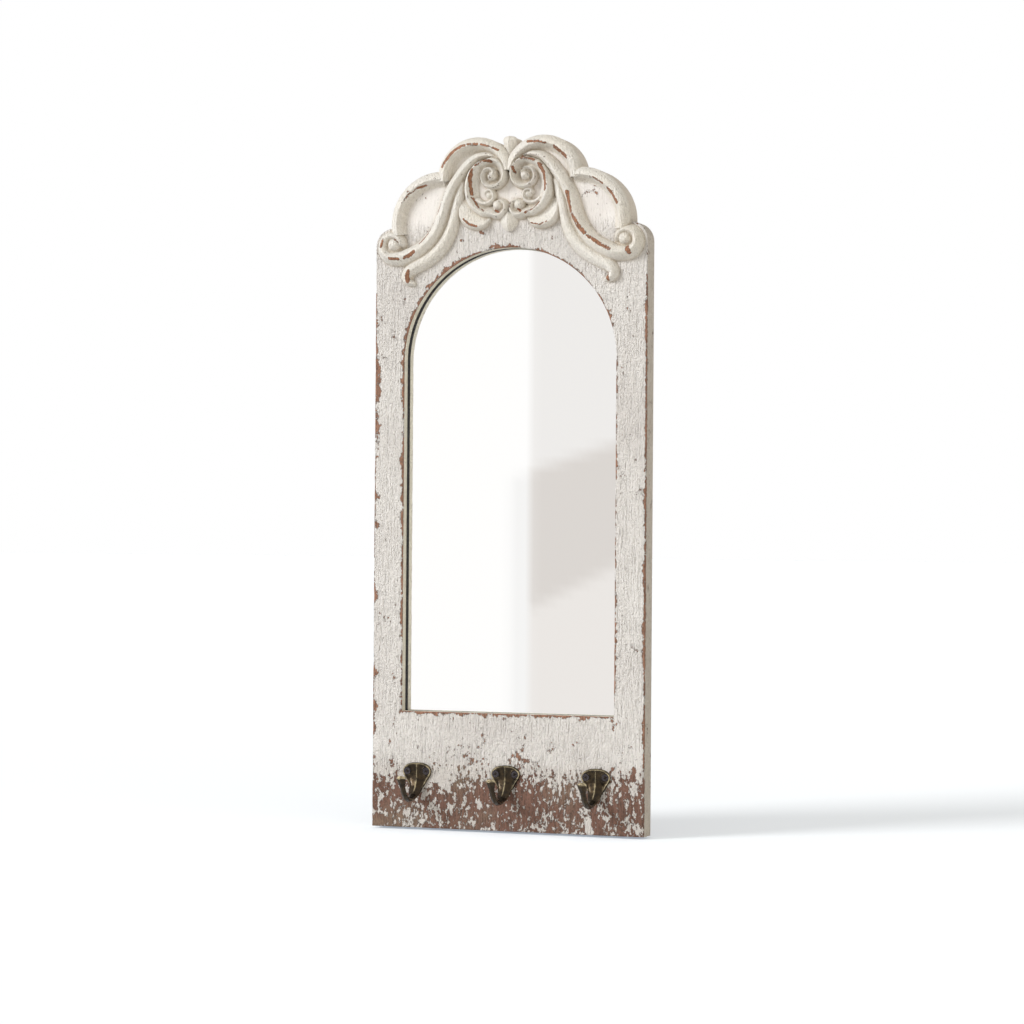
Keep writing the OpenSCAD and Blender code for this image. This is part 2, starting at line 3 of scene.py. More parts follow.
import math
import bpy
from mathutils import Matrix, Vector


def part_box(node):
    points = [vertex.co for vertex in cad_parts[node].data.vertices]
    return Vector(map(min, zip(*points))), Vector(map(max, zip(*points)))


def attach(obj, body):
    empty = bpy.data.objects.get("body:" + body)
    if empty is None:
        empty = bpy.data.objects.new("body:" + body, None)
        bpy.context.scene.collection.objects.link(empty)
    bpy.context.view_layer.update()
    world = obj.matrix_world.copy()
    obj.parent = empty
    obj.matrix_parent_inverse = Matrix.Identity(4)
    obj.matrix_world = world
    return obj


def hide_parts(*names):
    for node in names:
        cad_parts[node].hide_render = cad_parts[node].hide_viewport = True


bl_info = {
    "name": "Mirror with Hooks",
    "version": (1, 0, 0),
    "blender": (4, 5, 0),
    "location": "View3D > Sidebar > Mirror",
    "description": "Builds a painted arched mirror with a carved crest and three cast hooks",
    "category": "Add Mesh",
}

import bmesh
import bpy
import numpy as np
from bpy.props import FloatProperty, FloatVectorProperty, PointerProperty
from bpy.types import Operator, Panel, PropertyGroup
from mathutils import Matrix, Vector

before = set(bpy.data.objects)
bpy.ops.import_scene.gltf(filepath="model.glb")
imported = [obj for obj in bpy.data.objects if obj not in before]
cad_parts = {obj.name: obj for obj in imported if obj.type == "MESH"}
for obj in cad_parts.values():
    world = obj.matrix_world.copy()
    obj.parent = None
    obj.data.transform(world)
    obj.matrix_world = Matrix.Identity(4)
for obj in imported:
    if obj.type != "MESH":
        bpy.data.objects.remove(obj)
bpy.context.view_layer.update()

# ------------------------------------------------------------------ the board's own coordinates
# Shapes are worked out in millimetres on the board: x to the right of the centreline, z up
# from the bottom edge, and h out of the front face.

MM = 0.001
BOARD_LOW, BOARD_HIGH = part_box("frame_board")
GLASS_LOW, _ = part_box("mirror_glass")
BOARD_W = (BOARD_HIGH.x - BOARD_LOW.x) / MM
BOARD_T = (BOARD_HIGH.y - BOARD_LOW.y) / MM
LEDGE_H = (BOARD_LOW.y - GLASS_LOW.y) / MM  # below zero: the ledge lies behind the front face
MIDDLE_Z = 330.0  # height of the board's middle, from which its outlines are measured

# The opening's half width, its sill, the centre of its arch, and the rebate behind it.
OPENING_R = 105.0
SILL_Z = 110.0
ARCH_Z = 441.0
REBATE_W = 6.5

# Discs of the board's outline as x, z and radius, and the arcs of their mouldings in degrees.
SHOULDER = (116.9, 549.8, 17.7)
UPPER_LOBE = (32.6, 611.2, 39.0)
LOWER_LOBE = (68.9, 569.8, 49.3)
FINIAL = (0.0, 643.8, 6.4)
UPPER_ARC = (-3.0, 168.0)
LOWER_ARC = (-14.0, 97.0)
ROLL_W = 14.5
ROLL_RIDGE = 8.0  # distance of a moulding's ridge from its outer edge

HOOK_X = (-88.5, 0.0, 88.5)
HOOK_Z = 53.7
HOOK_SCREW_X = 9.5


def on_board(x, z, h):
    """Board coordinates in millimetres become frame coordinates in metres: y = front - h."""
    return np.stack([x * MM, BOARD_LOW.y - h * MM, BOARD_LOW.z + z * MM], axis=-1)


# ------------------------------------------------------------------ formulas


def value_noise(x, z, size, seed):
    """Seeded numbers on a square lattice, blended between the four nearest with 3t^2 - 2t^3."""
    lattice = np.random.default_rng(seed).random((128, 128))
    a, b = x / size, z / size
    i, j = np.floor(a).astype(int), np.floor(b).astype(int)
    s, t = a - i, b - j
    s, t = s * s * (3 - 2 * s), t * t * (3 - 2 * t)
    i, j, k, m = i % 128, j % 128, (i + 1) % 128, (j + 1) % 128
    low = lattice[i, j] * (1 - s) + lattice[k, j] * s
    high = lattice[i, m] * (1 - s) + lattice[k, m] * s
    return low * (1 - t) + high * t


def rough_noise(x, z, size, seed):
    """Three layers of value noise, each half as large and half as strong as the one before."""
    total = sum(value_noise(x, z, size / 2**n, seed + n) / 2**n for n in range(3))
    return total / 1.75


def wander(x, z, size, seed):
    """Rough noise from -1 to 1: twice its distance from a half."""
    return (rough_noise(x, z, size, seed) - 0.5) * 2


def bell(away, width):
    """exp(-(away / width)^2)."""
    return np.exp(-((away / width) ** 2))


def smooth_step(value, low, high):
    """0 below low, 1 above high, and 3t^2 - 2t^3 between."""
    t = np.clip((value - low) / (high - low), 0, 1)
    return t * t * (3 - 2 * t)


def smooth_path(knots, steps):
    """Catmull-Rom curve through the knots: a cubic between each two, with the slope at a knot
    half the difference of its neighbours."""
    k = np.asarray(knots, float)
    k = np.vstack([k[:1], k, k[-1:]])
    a, b, c, d = (k[n : len(k) - 3 + n, None, :] for n in range(4))
    t = (np.arange(steps) / steps)[None, :, None]
    curve = 0.5 * (
        2 * b
        + (c - a) * t
        + (2 * a - 5 * b + 4 * c - d) * t**2
        + (3 * b - a - 3 * c + d) * t**3
    )
    return np.vstack([curve.reshape(-1, k.shape[1]), k[-1:]])


def volute(centre, radius, angle, width, height, steps):
    """Spiral: radius, angle, width and height all change evenly from first to last."""
    t = np.linspace(0, 1, steps + 1)
    r, a, w, h = (first + (last - first) * t for first, last in (radius, angle, width, height))
    a = np.radians(a)
    return np.stack([centre[0] + r * np.cos(a), centre[1] + r * np.sin(a), w, h], axis=-1)


def evenly(path, spacing):
    """The path's stations moved along it to even distances."""
    run = np.concatenate([[0], np.cumsum(np.hypot(*np.diff(path[:, :2], axis=0).T))])
    at = np.linspace(0, run[-1], max(int(run[-1] / spacing), 4) + 1)
    return np.stack([np.interp(at, run, column) for column in path.T], axis=-1)


def ray_exit(theta, rectangles, discs):
    """How far a ray from the board's middle goes before it leaves a union of rectangles (half
    width, low, high) and discs (x, z, radius): the farthest crossing of any of them."""
    c, s = np.cos(theta), np.sin(theta)
    c, s = np.where(np.abs(c) < 1e-9, 1e-9, c), np.where(np.abs(s) < 1e-9, 1e-9, s)
    far = np.zeros_like(theta)
    for half, low, high in rectangles:
        level = np.where(s > 0, high, low) - MIDDLE_Z
        far = np.maximum(far, np.minimum(half / np.abs(c), level / s))
    for x, z, r in discs:
        along = c * x + s * (z - MIDDLE_Z)
        depth = r * r - (x * x + (z - MIDDLE_Z) ** 2 - along**2)
        far = np.where(depth > 0, np.maximum(far, along + np.sqrt(np.maximum(depth, 0))), far)
    return far


def both_sides(disc, less=0.0):
    """The disc and its mirror image."""
    x, z, r = disc
    return [(x, z, r - less), (-x, z, r - less)]


def board_exit(theta):
    """The board's outline, as a distance from its middle."""
    half, shoulder_half = BOARD_W / 2, SHOULDER[0]
    rectangles = [
        (half, 0, SHOULDER[1]),
        (shoulder_half, 0, SHOULDER[1] + SHOULDER[2]),
        (FINIAL[2], 0, FINIAL[1]),
    ]
    discs = both_sides(SHOULDER) + both_sides(UPPER_LOBE, 0.06) + both_sides(LOWER_LOBE, 0.06)
    return ray_exit(theta, rectangles, discs + [FINIAL])


def arch_exit(theta, margin):
    """The arched opening's outline, grown by a margin, as a distance from the middle."""
    r = OPENING_R + margin
    return ray_exit(theta, [(r, SILL_Z - margin, ARCH_Z)], [(0, ARCH_Z, r)])


# ------------------------------------------------------------------ relief of the crest
# The S-scrolls and C-scrolls are height fields over a fine grid. A ribbon's height depends on
# the share u of the half width at which a grid point lies from the ribbon's middle line. Its
# knots are x, z, width and share of the height.

S_KNOTS = [
    [9, 629, 4, 0.35], [20, 633.2, 6, 0.55], [31.5, 631.2, 8.5, 0.8], [41, 624.3, 10.5, 0.92],
    [49, 614.3, 11.5, 1], [56, 604, 12, 1], [61.8, 592, 12.2, 1], [65.8, 579, 12.6, 1],
    [70.4, 567.2, 13, 1], [77.4, 555.8, 14, 1], [87, 546.6, 15, 1], [98, 541, 15.5, 1],
    [107, 538.7, 14, 1],
]
TAIL_KNOTS = [
    [46, 607, 8, 0.7], [49.5, 597, 10, 0.85], [52.5, 585, 10.5, 0.95], [55.3, 573, 11, 1],
    [58.8, 562.5, 12, 1], [64.3, 552.5, 13, 1], [72, 543.6, 13.5, 1], [81.5, 536.6, 13.5, 1],
    [91, 531.4, 13, 1], [98.6, 526.8, 12, 1.08], [102.4, 521, 10.5, 1.06],
    [100.4, 516.2, 8.5, 0.95], [96, 514.2, 5, 0.7],
]
C_KNOTS = [
    [24.5, 579.6, 11, 0.92], [32.2, 585.6, 12.3, 0.98], [36.8, 594.3, 13, 1],
    [37.6, 604.4, 13, 1], [35, 614.2, 12.2, 1], [28.4, 622.6, 10.3, 1],
]
CURL_KNOTS = [
    [31, 590.4, 6.5, 0.6], [26.6, 587.9, 5.6, 0.6], [22, 587.4, 5, 0.6], [17.9, 588.9, 4.6, 0.6],
    [15.3, 592.2, 4.4, 0.6], [15.1, 596.2, 4.2, 0.6], [17.4, 599.4, 4, 0.6],
    [21.2, 599.6, 3.8, 0.57], [23.2, 597, 3.4, 0.52],
]
LEAF_KNOTS = [
    [45.6, 588.8, 6.5, 0.4], [44, 583, 14, 0.8], [40.6, 576.2, 17.5, 1],
    [35.6, 572.6, 17.5, 1], [29.6, 571, 16, 1], [24.8, 571.2, 12, 0.9], [21.4, 572.6, 7, 0.6],
]

# The stem and the finial stand on the centreline: z, width and share of the height.
STEM_KNOTS = [[579, 9, 0.7], [574, 16.5, 0.95], [569.4, 17, 1], [564.4, 12, 0.8], [561, 5, 0.45]]
FINIAL_KNOTS = [
    [632.5, 1.2, 0.3], [636.6, 6.0, 0.7], [641, 10.4, 0.95], [645.2, 13.0, 1], [648, 12.4, 0.9],
    [649.5, 9.2, 0.7], [650.1, 4.4, 0.5],
]

# Spirals as centre, then first and last radius, angle, width and height share, and steps.
S_VOLUTE = ((115.3, 550), (11.4, 8.6), (270, 528), (12.6, 6.5), (1, 0.8), 120)
C_BULB = ((9.4, 584.8), (4.2, 8.6), (100, 318), (5, 10.3), (0.75, 0.9), 60)
C_VOLUTE = [
    ((17.3, 613.9), (12.6, 12.1), (90, 180), (8.6, 8.8), (0.98, 0.95), 40),
    ((17.3, 613.9), (11.9, 7.2), (195, 378), (8.6, 5.4), (0.94, 0.82), 60),
    ((17.3, 613.9), (7.1, 2.4), (385, 520), (5.3, 5.0), (0.83, 0.95), 40),
]

# Buttons in the eyes of the spirals as centre, radius and height share.
S_EYES = [((114.3, 551.2), 6.6, 0.97)]
C_EYES = [((16.4, 612.6), 4.4, 0.96), ((10.6, 585.4), 5.2, 0.82), ((19.5, 595), 3.3, 0.58)]

CELL = 0.42
GRID_X = np.arange(-1.0, 136.0, CELL)
GRID_Z = np.arange(506.0, 652.0, CELL)
NONE = -9.0  # height where there is no carving

STATION = 0.5  # distance between the stations of a path
RUN, LAP = 36, 6  # stations in a run of a path, and how many of them the next run shares
GAP_CELLS, GAP_DEPTH = 4, 2.8  # gaps up to twice this many cells wide are no deeper than this
HOLLOW_DEPTH = 3.2  # depth below the carving round it at which a hollow's stain and painted shade are at their darkest


def convex(t, slope, drop, power):
    """A full, rounded slope: 1 - slope t - drop t^power."""
    return 1 - slope * t - drop * t**power


def hollow(t, floor, power):
    """A scooped slope: falls fast from the ridge and flattens out at its floor."""
    return floor + (1 - floor) * (1 - t) ** power


def from_ridge(u, ridge):
    """Shares of the way that u has gone from the ridge towards 1, and towards -1."""
    return np.clip((u - ridge) / (1 - ridge), 0, 1), np.clip((ridge - u) / (1 + ridge), 0, 1)


def s_section(u, s):
    """Section of the S-scroll: its ridge leans inward on the long sweep and is central in the
    volute; a full outer slope, and a straighter inner one."""
    ridge = -0.30 + 0.30 * smooth_step(s, 0.50, 0.68)
    outer, inner = from_ridge(u, ridge)
    return np.where(u > ridge, convex(outer, 0.10, 0.76, 2.2), convex(inner, 0.30, 0.44, 2.0))


def c_section(u, s):
    """Section of the C-scroll: a full outer slope and a scooped inner one."""
    ridge = -0.12 - 0.2 * smooth_step(s, 0.2, 0.45)
    inner, outer = from_ridge(u, ridge)
    return np.where(u > ridge, hollow(inner, 0.14, 1.5), convex(outer, 0.08, 0.76, 2.2))


def tail_section(u, s):
    """Section of the lower ribbon: an even ridge."""
    return convex(np.abs(u), 0.15, 0.68, 2.2)


def leaf_section(u, s):
    """Section of the leaf: a rim near its lower edge and a scooped blade above."""
    ridge = 0.6
    rim, blade = from_ridge(u, ridge)
    return np.where(u > ridge, convex(rim, 0.1, 0.7, 2.0), hollow(blade, 0.34, 1.5))


def ribbon_field(x, z, path, height, section):
    """Height of a ribbon at each grid point: the nearest station of the path gives the width,
    the height share and the offset u; past the edge the height falls two for one. The path
    is taken in short runs, so that a turn lying beside an earlier turn counts as well."""
    path = evenly(np.asarray(path, float), STATION)
    ahead = np.gradient(path[:, :2], axis=0)
    ahead /= np.linalg.norm(ahead, axis=1)[:, None]
    field = np.full(x.shape, NONE)
    count = len(path)
    for start in range(0, count, RUN - LAP):
        stop = min(start + RUN, count)
        part, way = path[start:stop], ahead[start:stop]
        reach = part[:, 2].max() / 2 + 3.5
        near = (
            (x > part[:, 0].min() - reach) & (x < part[:, 0].max() + reach)
            & (z > part[:, 1].min() - reach) & (z < part[:, 1].max() + reach)
        )
        px, pz = x[near], z[near]
        gap = (px[:, None] - part[:, 0]) ** 2 + (pz[:, None] - part[:, 1]) ** 2
        k = gap.argmin(axis=1)
        dx, dz = px - part[k, 0], pz - part[k, 1]
        along = dx * way[k, 0] + dz * way[k, 1]
        across = dz * way[k, 0] - dx * way[k, 1]
        at = np.clip(k + along / STATION, 0, len(part) - 1)
        width = np.interp(at, np.arange(len(part)), part[:, 2]) / 2
        share = np.interp(at, np.arange(len(part)), part[:, 3])
        first, last = (k == 0) & (along < -0.3), (k == len(part) - 1) & (along > 0.3)
        past = (first & (start == 0)) | (last & (stop == count))
        away = np.where(past, np.hypot(across, along), np.abs(across))
        u = np.clip(np.where(past, away * np.sign(across + 1e-9), across) / width, -1, 1)
        h = height * share * section(u, (start + at) / count)
        h = np.where(away > width, h - 2 * (away - width), h)
        cut = (first & (start > 0)) | (last & (stop < count))
        field[near] = np.maximum(field[near], np.where(cut, NONE, h))
        if stop == count:
            break
    return field


def dome_field(x, z, centre, radius, height):
    """A button: height (1 - 0.35 t^2 - 0.4 t^4) out to its radius, then three down for one."""
    away = np.hypot(x - centre[0], z - centre[1])
    t = np.minimum(away / radius, 1)
    return height * (1 - 0.35 * t**2 - 0.4 * t**4) - 3 * np.maximum(away - radius, 0)


def roll_height(r, edge, height):
    """Roll moulding against the distance from its lobe's centre: a scooped inner slope up to
    the ridge, then a full outer slope down to the edge."""
    ridge = edge - ROLL_RIDGE
    t_in = np.clip((ridge - r) / (ROLL_W - ROLL_RIDGE), 0, 1)
    t_out = np.clip((r - ridge) / ROLL_RIDGE, 0, 1)
    return height * np.where(r < ridge, hollow(t_in, 0.04, 1.7), convex(t_out, 0.10, 0.74, 2.6))


def roll_field(x, z, lobe, arc, height):
    """Height of a roll moulding at each grid point, within its arc."""
    r = np.hypot(x - lobe[0], z - lobe[1])
    a = np.degrees(np.arctan2(z - lobe[1], x - lobe[0]))
    inside = (r < lobe[2]) & (r > lobe[2] - ROLL_W) & (a > arc[0]) & (a < arc[1])
    return np.where(inside, roll_height(r, lobe[2], height), NONE)


def moved_copies(field, axis, reach):
    """The field moved by -reach to +reach cells along an axis, its edges repeated."""
    padded = np.pad(field, [(reach, reach) if n == axis else (0, 0) for n in (0, 1)], "edge")
    size = field.shape[axis]
    return [np.take(padded, np.arange(size) + n, axis=axis) for n in range(2 * reach + 1)]


def soften(field, cells):
    """Blur: each row and column is averaged with a bell-shaped weight a few cells wide."""
    reach = 3 * math.ceil(cells)
    weight = np.exp(-0.5 * (np.arange(-reach, reach + 1) / cells) ** 2)
    weight /= weight.sum()
    for axis in (0, 1):
        field = sum(w * copy for w, copy in zip(weight, moved_copies(field, axis, reach)))
    return field


def spread(field, cells):
    """Each point takes the highest value found within a square of this many cells round it."""
    for axis in (0, 1):
        field = np.maximum.reduce(moved_copies(field, axis, cells))
    return field


def crest_relief(sizes):
    """The height fields of the right half's scrolls, and all the carving's relief, blurred."""
    x, z = np.meshgrid(GRID_X, GRID_Z)
    s_path = np.vstack([smooth_path(S_KNOTS, 12)[:-1], volute(*S_VOLUTE)])
    c_path = np.vstack([
        volute(*C_BULB), smooth_path(C_KNOTS, 12), *[volute(*turn) for turn in C_VOLUTE],
    ])
    s_h, c_h = sizes.s_scroll_height / MM, sizes.c_scroll_height / MM
    s_scroll = np.maximum.reduce([
        ribbon_field(x, z, s_path, s_h, s_section),
        ribbon_field(x, z, smooth_path(TAIL_KNOTS, 12), sizes.tail_height / MM, tail_section),
        *[dome_field(x, z, centre, radius, s_h * share) for centre, radius, share in S_EYES],
    ])
    c_scroll = np.maximum.reduce([
        ribbon_field(x, z, c_path, c_h, c_section),
        ribbon_field(x, z, smooth_path(CURL_KNOTS, 10), c_h, tail_section),
        ribbon_field(x, z, smooth_path(LEAF_KNOTS, 12), sizes.leaf_height / MM, leaf_section),
        *[dome_field(x, z, centre, radius, c_h * share) for centre, radius, share in C_EYES],
    ])
    borders = np.maximum(*[
        roll_field(x, z, lobe, arc, sizes.border_height / MM)
        for lobe, arc in ((UPPER_LOBE, UPPER_ARC), (LOWER_LOBE, LOWER_ARC))
    ])
    whole = np.maximum.reduce([s_scroll, c_scroll, borders, np.zeros_like(x)])
    bed = -spread(-spread(whole, GAP_CELLS), GAP_CELLS) - GAP_DEPTH
    bed = np.where(bed > np.maximum(whole, 0.6), bed, NONE)
    s_scroll, c_scroll = (
        np.maximum(mine, np.where(mine >= other, bed, NONE))
        for mine, other in ((s_scroll, c_scroll), (c_scroll, s_scroll))
    )
    blurred = soften(np.maximum(whole, bed), 5.0)
    return {"x": x, "z": z, "s": s_scroll, "c": c_scroll, "blurred": blurred}


RELIEF = {}


def blurred_at(x, z):
    """The blurred relief at any point of either half, from the four nearest grid points."""
    field = RELIEF["blurred"]
    step = GRID_X[1] - GRID_X[0]
    a = np.clip((np.abs(x) - GRID_X[0]) / step, 0, field.shape[1] - 1.001)
    b = np.clip((z - GRID_Z[0]) / step, 0, field.shape[0] - 1.001)
    i, j = np.floor(b).astype(int), np.floor(a).astype(int)
    s, t = a - j, b - i
    low = field[i, j] * (1 - s) + field[i, j + 1] * s
    high = field[i + 1, j] * (1 - s) + field[i + 1, j + 1] * s
    return low * (1 - t) + high * t


def cavity_at(x, z, h):
    """How deep a point lies among the carving round it, from 0 on open ground to 1."""
    depth = blurred_at(x, z) - np.maximum(h, 0)
    return np.clip(depth / HOLLOW_DEPTH, 0, 1) * (z > GRID_Z[0])


# ------------------------------------------------------------------ meshes


def place(name, data):
    """A new object in the scene that shows a mesh, lamp or camera."""
    item = bpy.data.objects.new(name, data)
    bpy.context.collection.objects.link(item)
    return item


def smooth_object(name, mesh, material, crease):
    """The mesh as an object, shaded smooth except at edges sharper than the crease."""
    mesh.polygons.foreach_set("use_smooth", np.ones(len(mesh.polygons), bool))
    mesh.set_sharp_from_angle(angle=math.radians(crease))
    mesh.materials.append(material)
    return place(name, mesh)


def add_mesh(name, points, quads, marks, material, crease, rounds=()):
    """A mesh object from arrays: points, quads, extra many-sided faces, and a float attribute
    for each mark. Faces are turned outward by the sign of the enclosed volume."""
    points, quads = np.asarray(points, float), np.asarray(quads, int)
    a, b, c, d = (points[quads[:, n]] for n in range(4))
    volume = (np.cross(b, c) * a).sum() + (np.cross(c, d) * a).sum()
    if volume < 0:
        quads, rounds = quads[:, ::-1], [face[::-1] for face in rounds]
    corners = np.concatenate([quads.ravel(), *rounds]).astype(np.int32)
    totals = np.array([4] * len(quads) + [len(face) for face in rounds])
    mesh = bpy.data.meshes.new(name)
    mesh.vertices.add(len(points))
    mesh.vertices.foreach_set("co", points.astype(np.float32).ravel())
    mesh.loops.add(len(corners))
    mesh.loops.foreach_set("vertex_index", corners)
    mesh.polygons.add(len(totals))
    mesh.polygons.foreach_set("loop_start", (np.cumsum(totals) - totals).astype(np.int32))
    mesh.update(calc_edges=True)
    if mesh.validate():
        raise RuntimeError(f"{name}: the mesh had faults")
    for mark, values in marks.items():
        layer = mesh.attributes.new(mark, "FLOAT", "POINT")
        layer.data.foreach_set("value", np.asarray(values, np.float32).ravel())
    return smooth_object(name, mesh, material, crease)


def grid_quads(rows, cols, round_rows, round_cols):
    """Quads of a grid whose last row, last column or both join the first."""
    i, j = np.arange(rows if round_rows else rows - 1), np.arange(cols if round_cols else cols - 1)
    i, j = np.meshgrid(i, j, indexing="ij")
    n, m = (i + 1) % rows, (j + 1) % cols
    corners = [i * cols + j, i * cols + m, n * cols + m, n * cols + j]
    return np.stack(corners, axis=-1).reshape(-1, 4)


def closed_grid(name, top, under, marks, material, crease, keep=None):
    """A closed solid between two grids: the kept cells above, the same cells below, and a wall
    along every side that a kept cell shares with no other. Marks are the same above and below."""
    rows, cols = top.shape[:2]
    if keep is None:
        keep = np.ones((rows - 1, cols - 1), bool)
    index = np.arange(rows * cols).reshape(rows, cols)
    a, b, c, d = index[:-1, :-1], index[:-1, 1:], index[1:, 1:], index[1:, :-1]
    low = rows * cols
    above = np.stack([a[keep], b[keep], c[keep], d[keep]], axis=1)
    quads = [above, above[:, ::-1] + low]
    padded = np.pad(keep, 1)
    beyond = [padded[:-2, 1:-1], padded[1:-1, 2:], padded[2:, 1:-1], padded[1:-1, :-2]]
    for other, start, end in zip(beyond, (a, b, c, d), (b, c, d, a)):
        edge = keep & ~other
        s, e = start[edge], end[edge]
        quads.append(np.stack([e, s, s + low, e + low], axis=1))
    points = np.concatenate([top.reshape(-1, 3), under.reshape(-1, 3)])
    used, quads = np.unique(np.concatenate(quads), return_inverse=True)
    marks = {mark: np.tile(values.ravel(), 2)[used] for mark, values in marks.items()}
    return add_mesh(name, points[used], quads.reshape(-1, 4), marks, material, crease)


def seat(piece, node, body="frame"):
    """The piece stands for the CAD node and rides on its body."""
    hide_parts(node)
    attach(piece, body)


def dress(node, material):
    """Gives a CAD node its material."""
    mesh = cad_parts[node].data
    mesh.materials.clear()
    mesh.materials.append(material)


def joined_copy(node, name, material):
    """A smooth copy of a CAD node: its loose triangles are joined at their corners, and slivers
    without any area are left out."""
    work = bmesh.new()
    work.from_mesh(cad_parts[node].data)
    bmesh.ops.remove_doubles(work, verts=work.verts, dist=1e-6)
    slivers = [face for face in work.faces if face.calc_area() < 1e-12]
    bmesh.ops.delete(work, geom=slivers, context="FACES")
    mesh = bpy.data.meshes.new(name)
    work.to_mesh(mesh)
    work.free()
    return smooth_object(name, mesh, material, 40)


# ------------------------------------------------------------------ finishes


def linear(rgb):
    """Screen colour 0-255 as the linear colour that a shader takes."""
    c = np.asarray(rgb, float) / 255
    return tuple(np.where(c <= 0.04045, c / 12.92, ((c + 0.055) / 1.055) ** 2.4))


class Graph:
    """The shader nodes of a world or material under construction, with short names for them."""

    def __init__(self, owner):
        owner.use_nodes = True
        self.tree = owner.node_tree

    def add(self, kind, inputs=None, **settings):
        node = self.tree.nodes.new(kind)
        for key, value in settings.items():
            setattr(node, key, value)
        for key, value in (inputs or {}).items():
            self.plug(node.inputs[key], value)
        return node

    def plug(self, socket, value):
        if isinstance(value, bpy.types.NodeSocket):
            self.tree.links.new(value, socket)
        elif socket.type == "RGBA":
            socket.default_value = (*value, 1.0)
        else:
            socket.default_value = value

    def math(self, operation, a, b=0.0, c=0.0, **settings):
        inputs = {0: a, 1: b, 2: c}
        return self.add("ShaderNodeMath", inputs, operation=operation, **settings).outputs[0]

    def times(self, a, b, plus=None):
        """a b, or a b + plus."""
        if plus is None:
            return self.math("MULTIPLY", a, b)
        return self.math("MULTIPLY_ADD", a, b, plus)

    def rise(self, value, low, high, start=0.0, end=1.0):
        """Goes from start to end while the value goes from low to high."""
        inputs = {"Value": value, "From Min": low, "From Max": high, "To Min": start, "To Max": end}
        return self.add("ShaderNodeMapRange", inputs, clamp=True).outputs["Result"]

    def blend(self, factor, a, b):
        """The colour a where the factor is 0, and b where it is 1."""
        mix = self.add("ShaderNodeMix", data_type="RGBA")
        for index, value in ((0, factor), (6, a), (7, b)):
            self.plug(mix.inputs[index], value)
        return mix.outputs[2]

    def mark(self, name):
        """One of the mesh's marks."""
        return self.add("ShaderNodeAttribute", attribute_name=name).outputs["Fac"]


class Finish(Graph):
    """A material whose patterns are given in millimetres on the object's own coordinates."""

    def __init__(self, name, shift=(0, 0, 0), **sockets):
        self.material = bpy.data.materials.new(name)
        super().__init__(self.material)
        self.shader = self.tree.nodes["Principled BSDF"]
        self.object = self.add("ShaderNodeTexCoord").outputs["Object"]
        self.shift = shift
        for socket, value in sockets.items():
            self.give(socket.replace("_", " "), value)

    def give(self, socket, value):
        self.plug(self.shader.inputs[socket], value)

    def noise(self, size, detail, roughness, tall=1.0):
        """Cloudy pattern with patches of this size, drawn out upright where tall is below 1."""
        inputs = {"Vector": self.object, "Scale": (1, 1, tall), "Location": self.shift}
        spot = self.add("ShaderNodeMapping", inputs).outputs[0]
        inputs = {"Vector": spot, "Scale": 1000 / size, "Detail": detail, "Roughness": roughness}
        return self.add("ShaderNodeTexNoise", inputs).outputs[0]

    def bump(self, height, strength):
        """Bump from a height in millimetres."""
        inputs = {"Height": height, "Distance": MM, "Strength": strength}
        self.give("Normal", self.add("ShaderNodeBump", inputs).outputs[0])


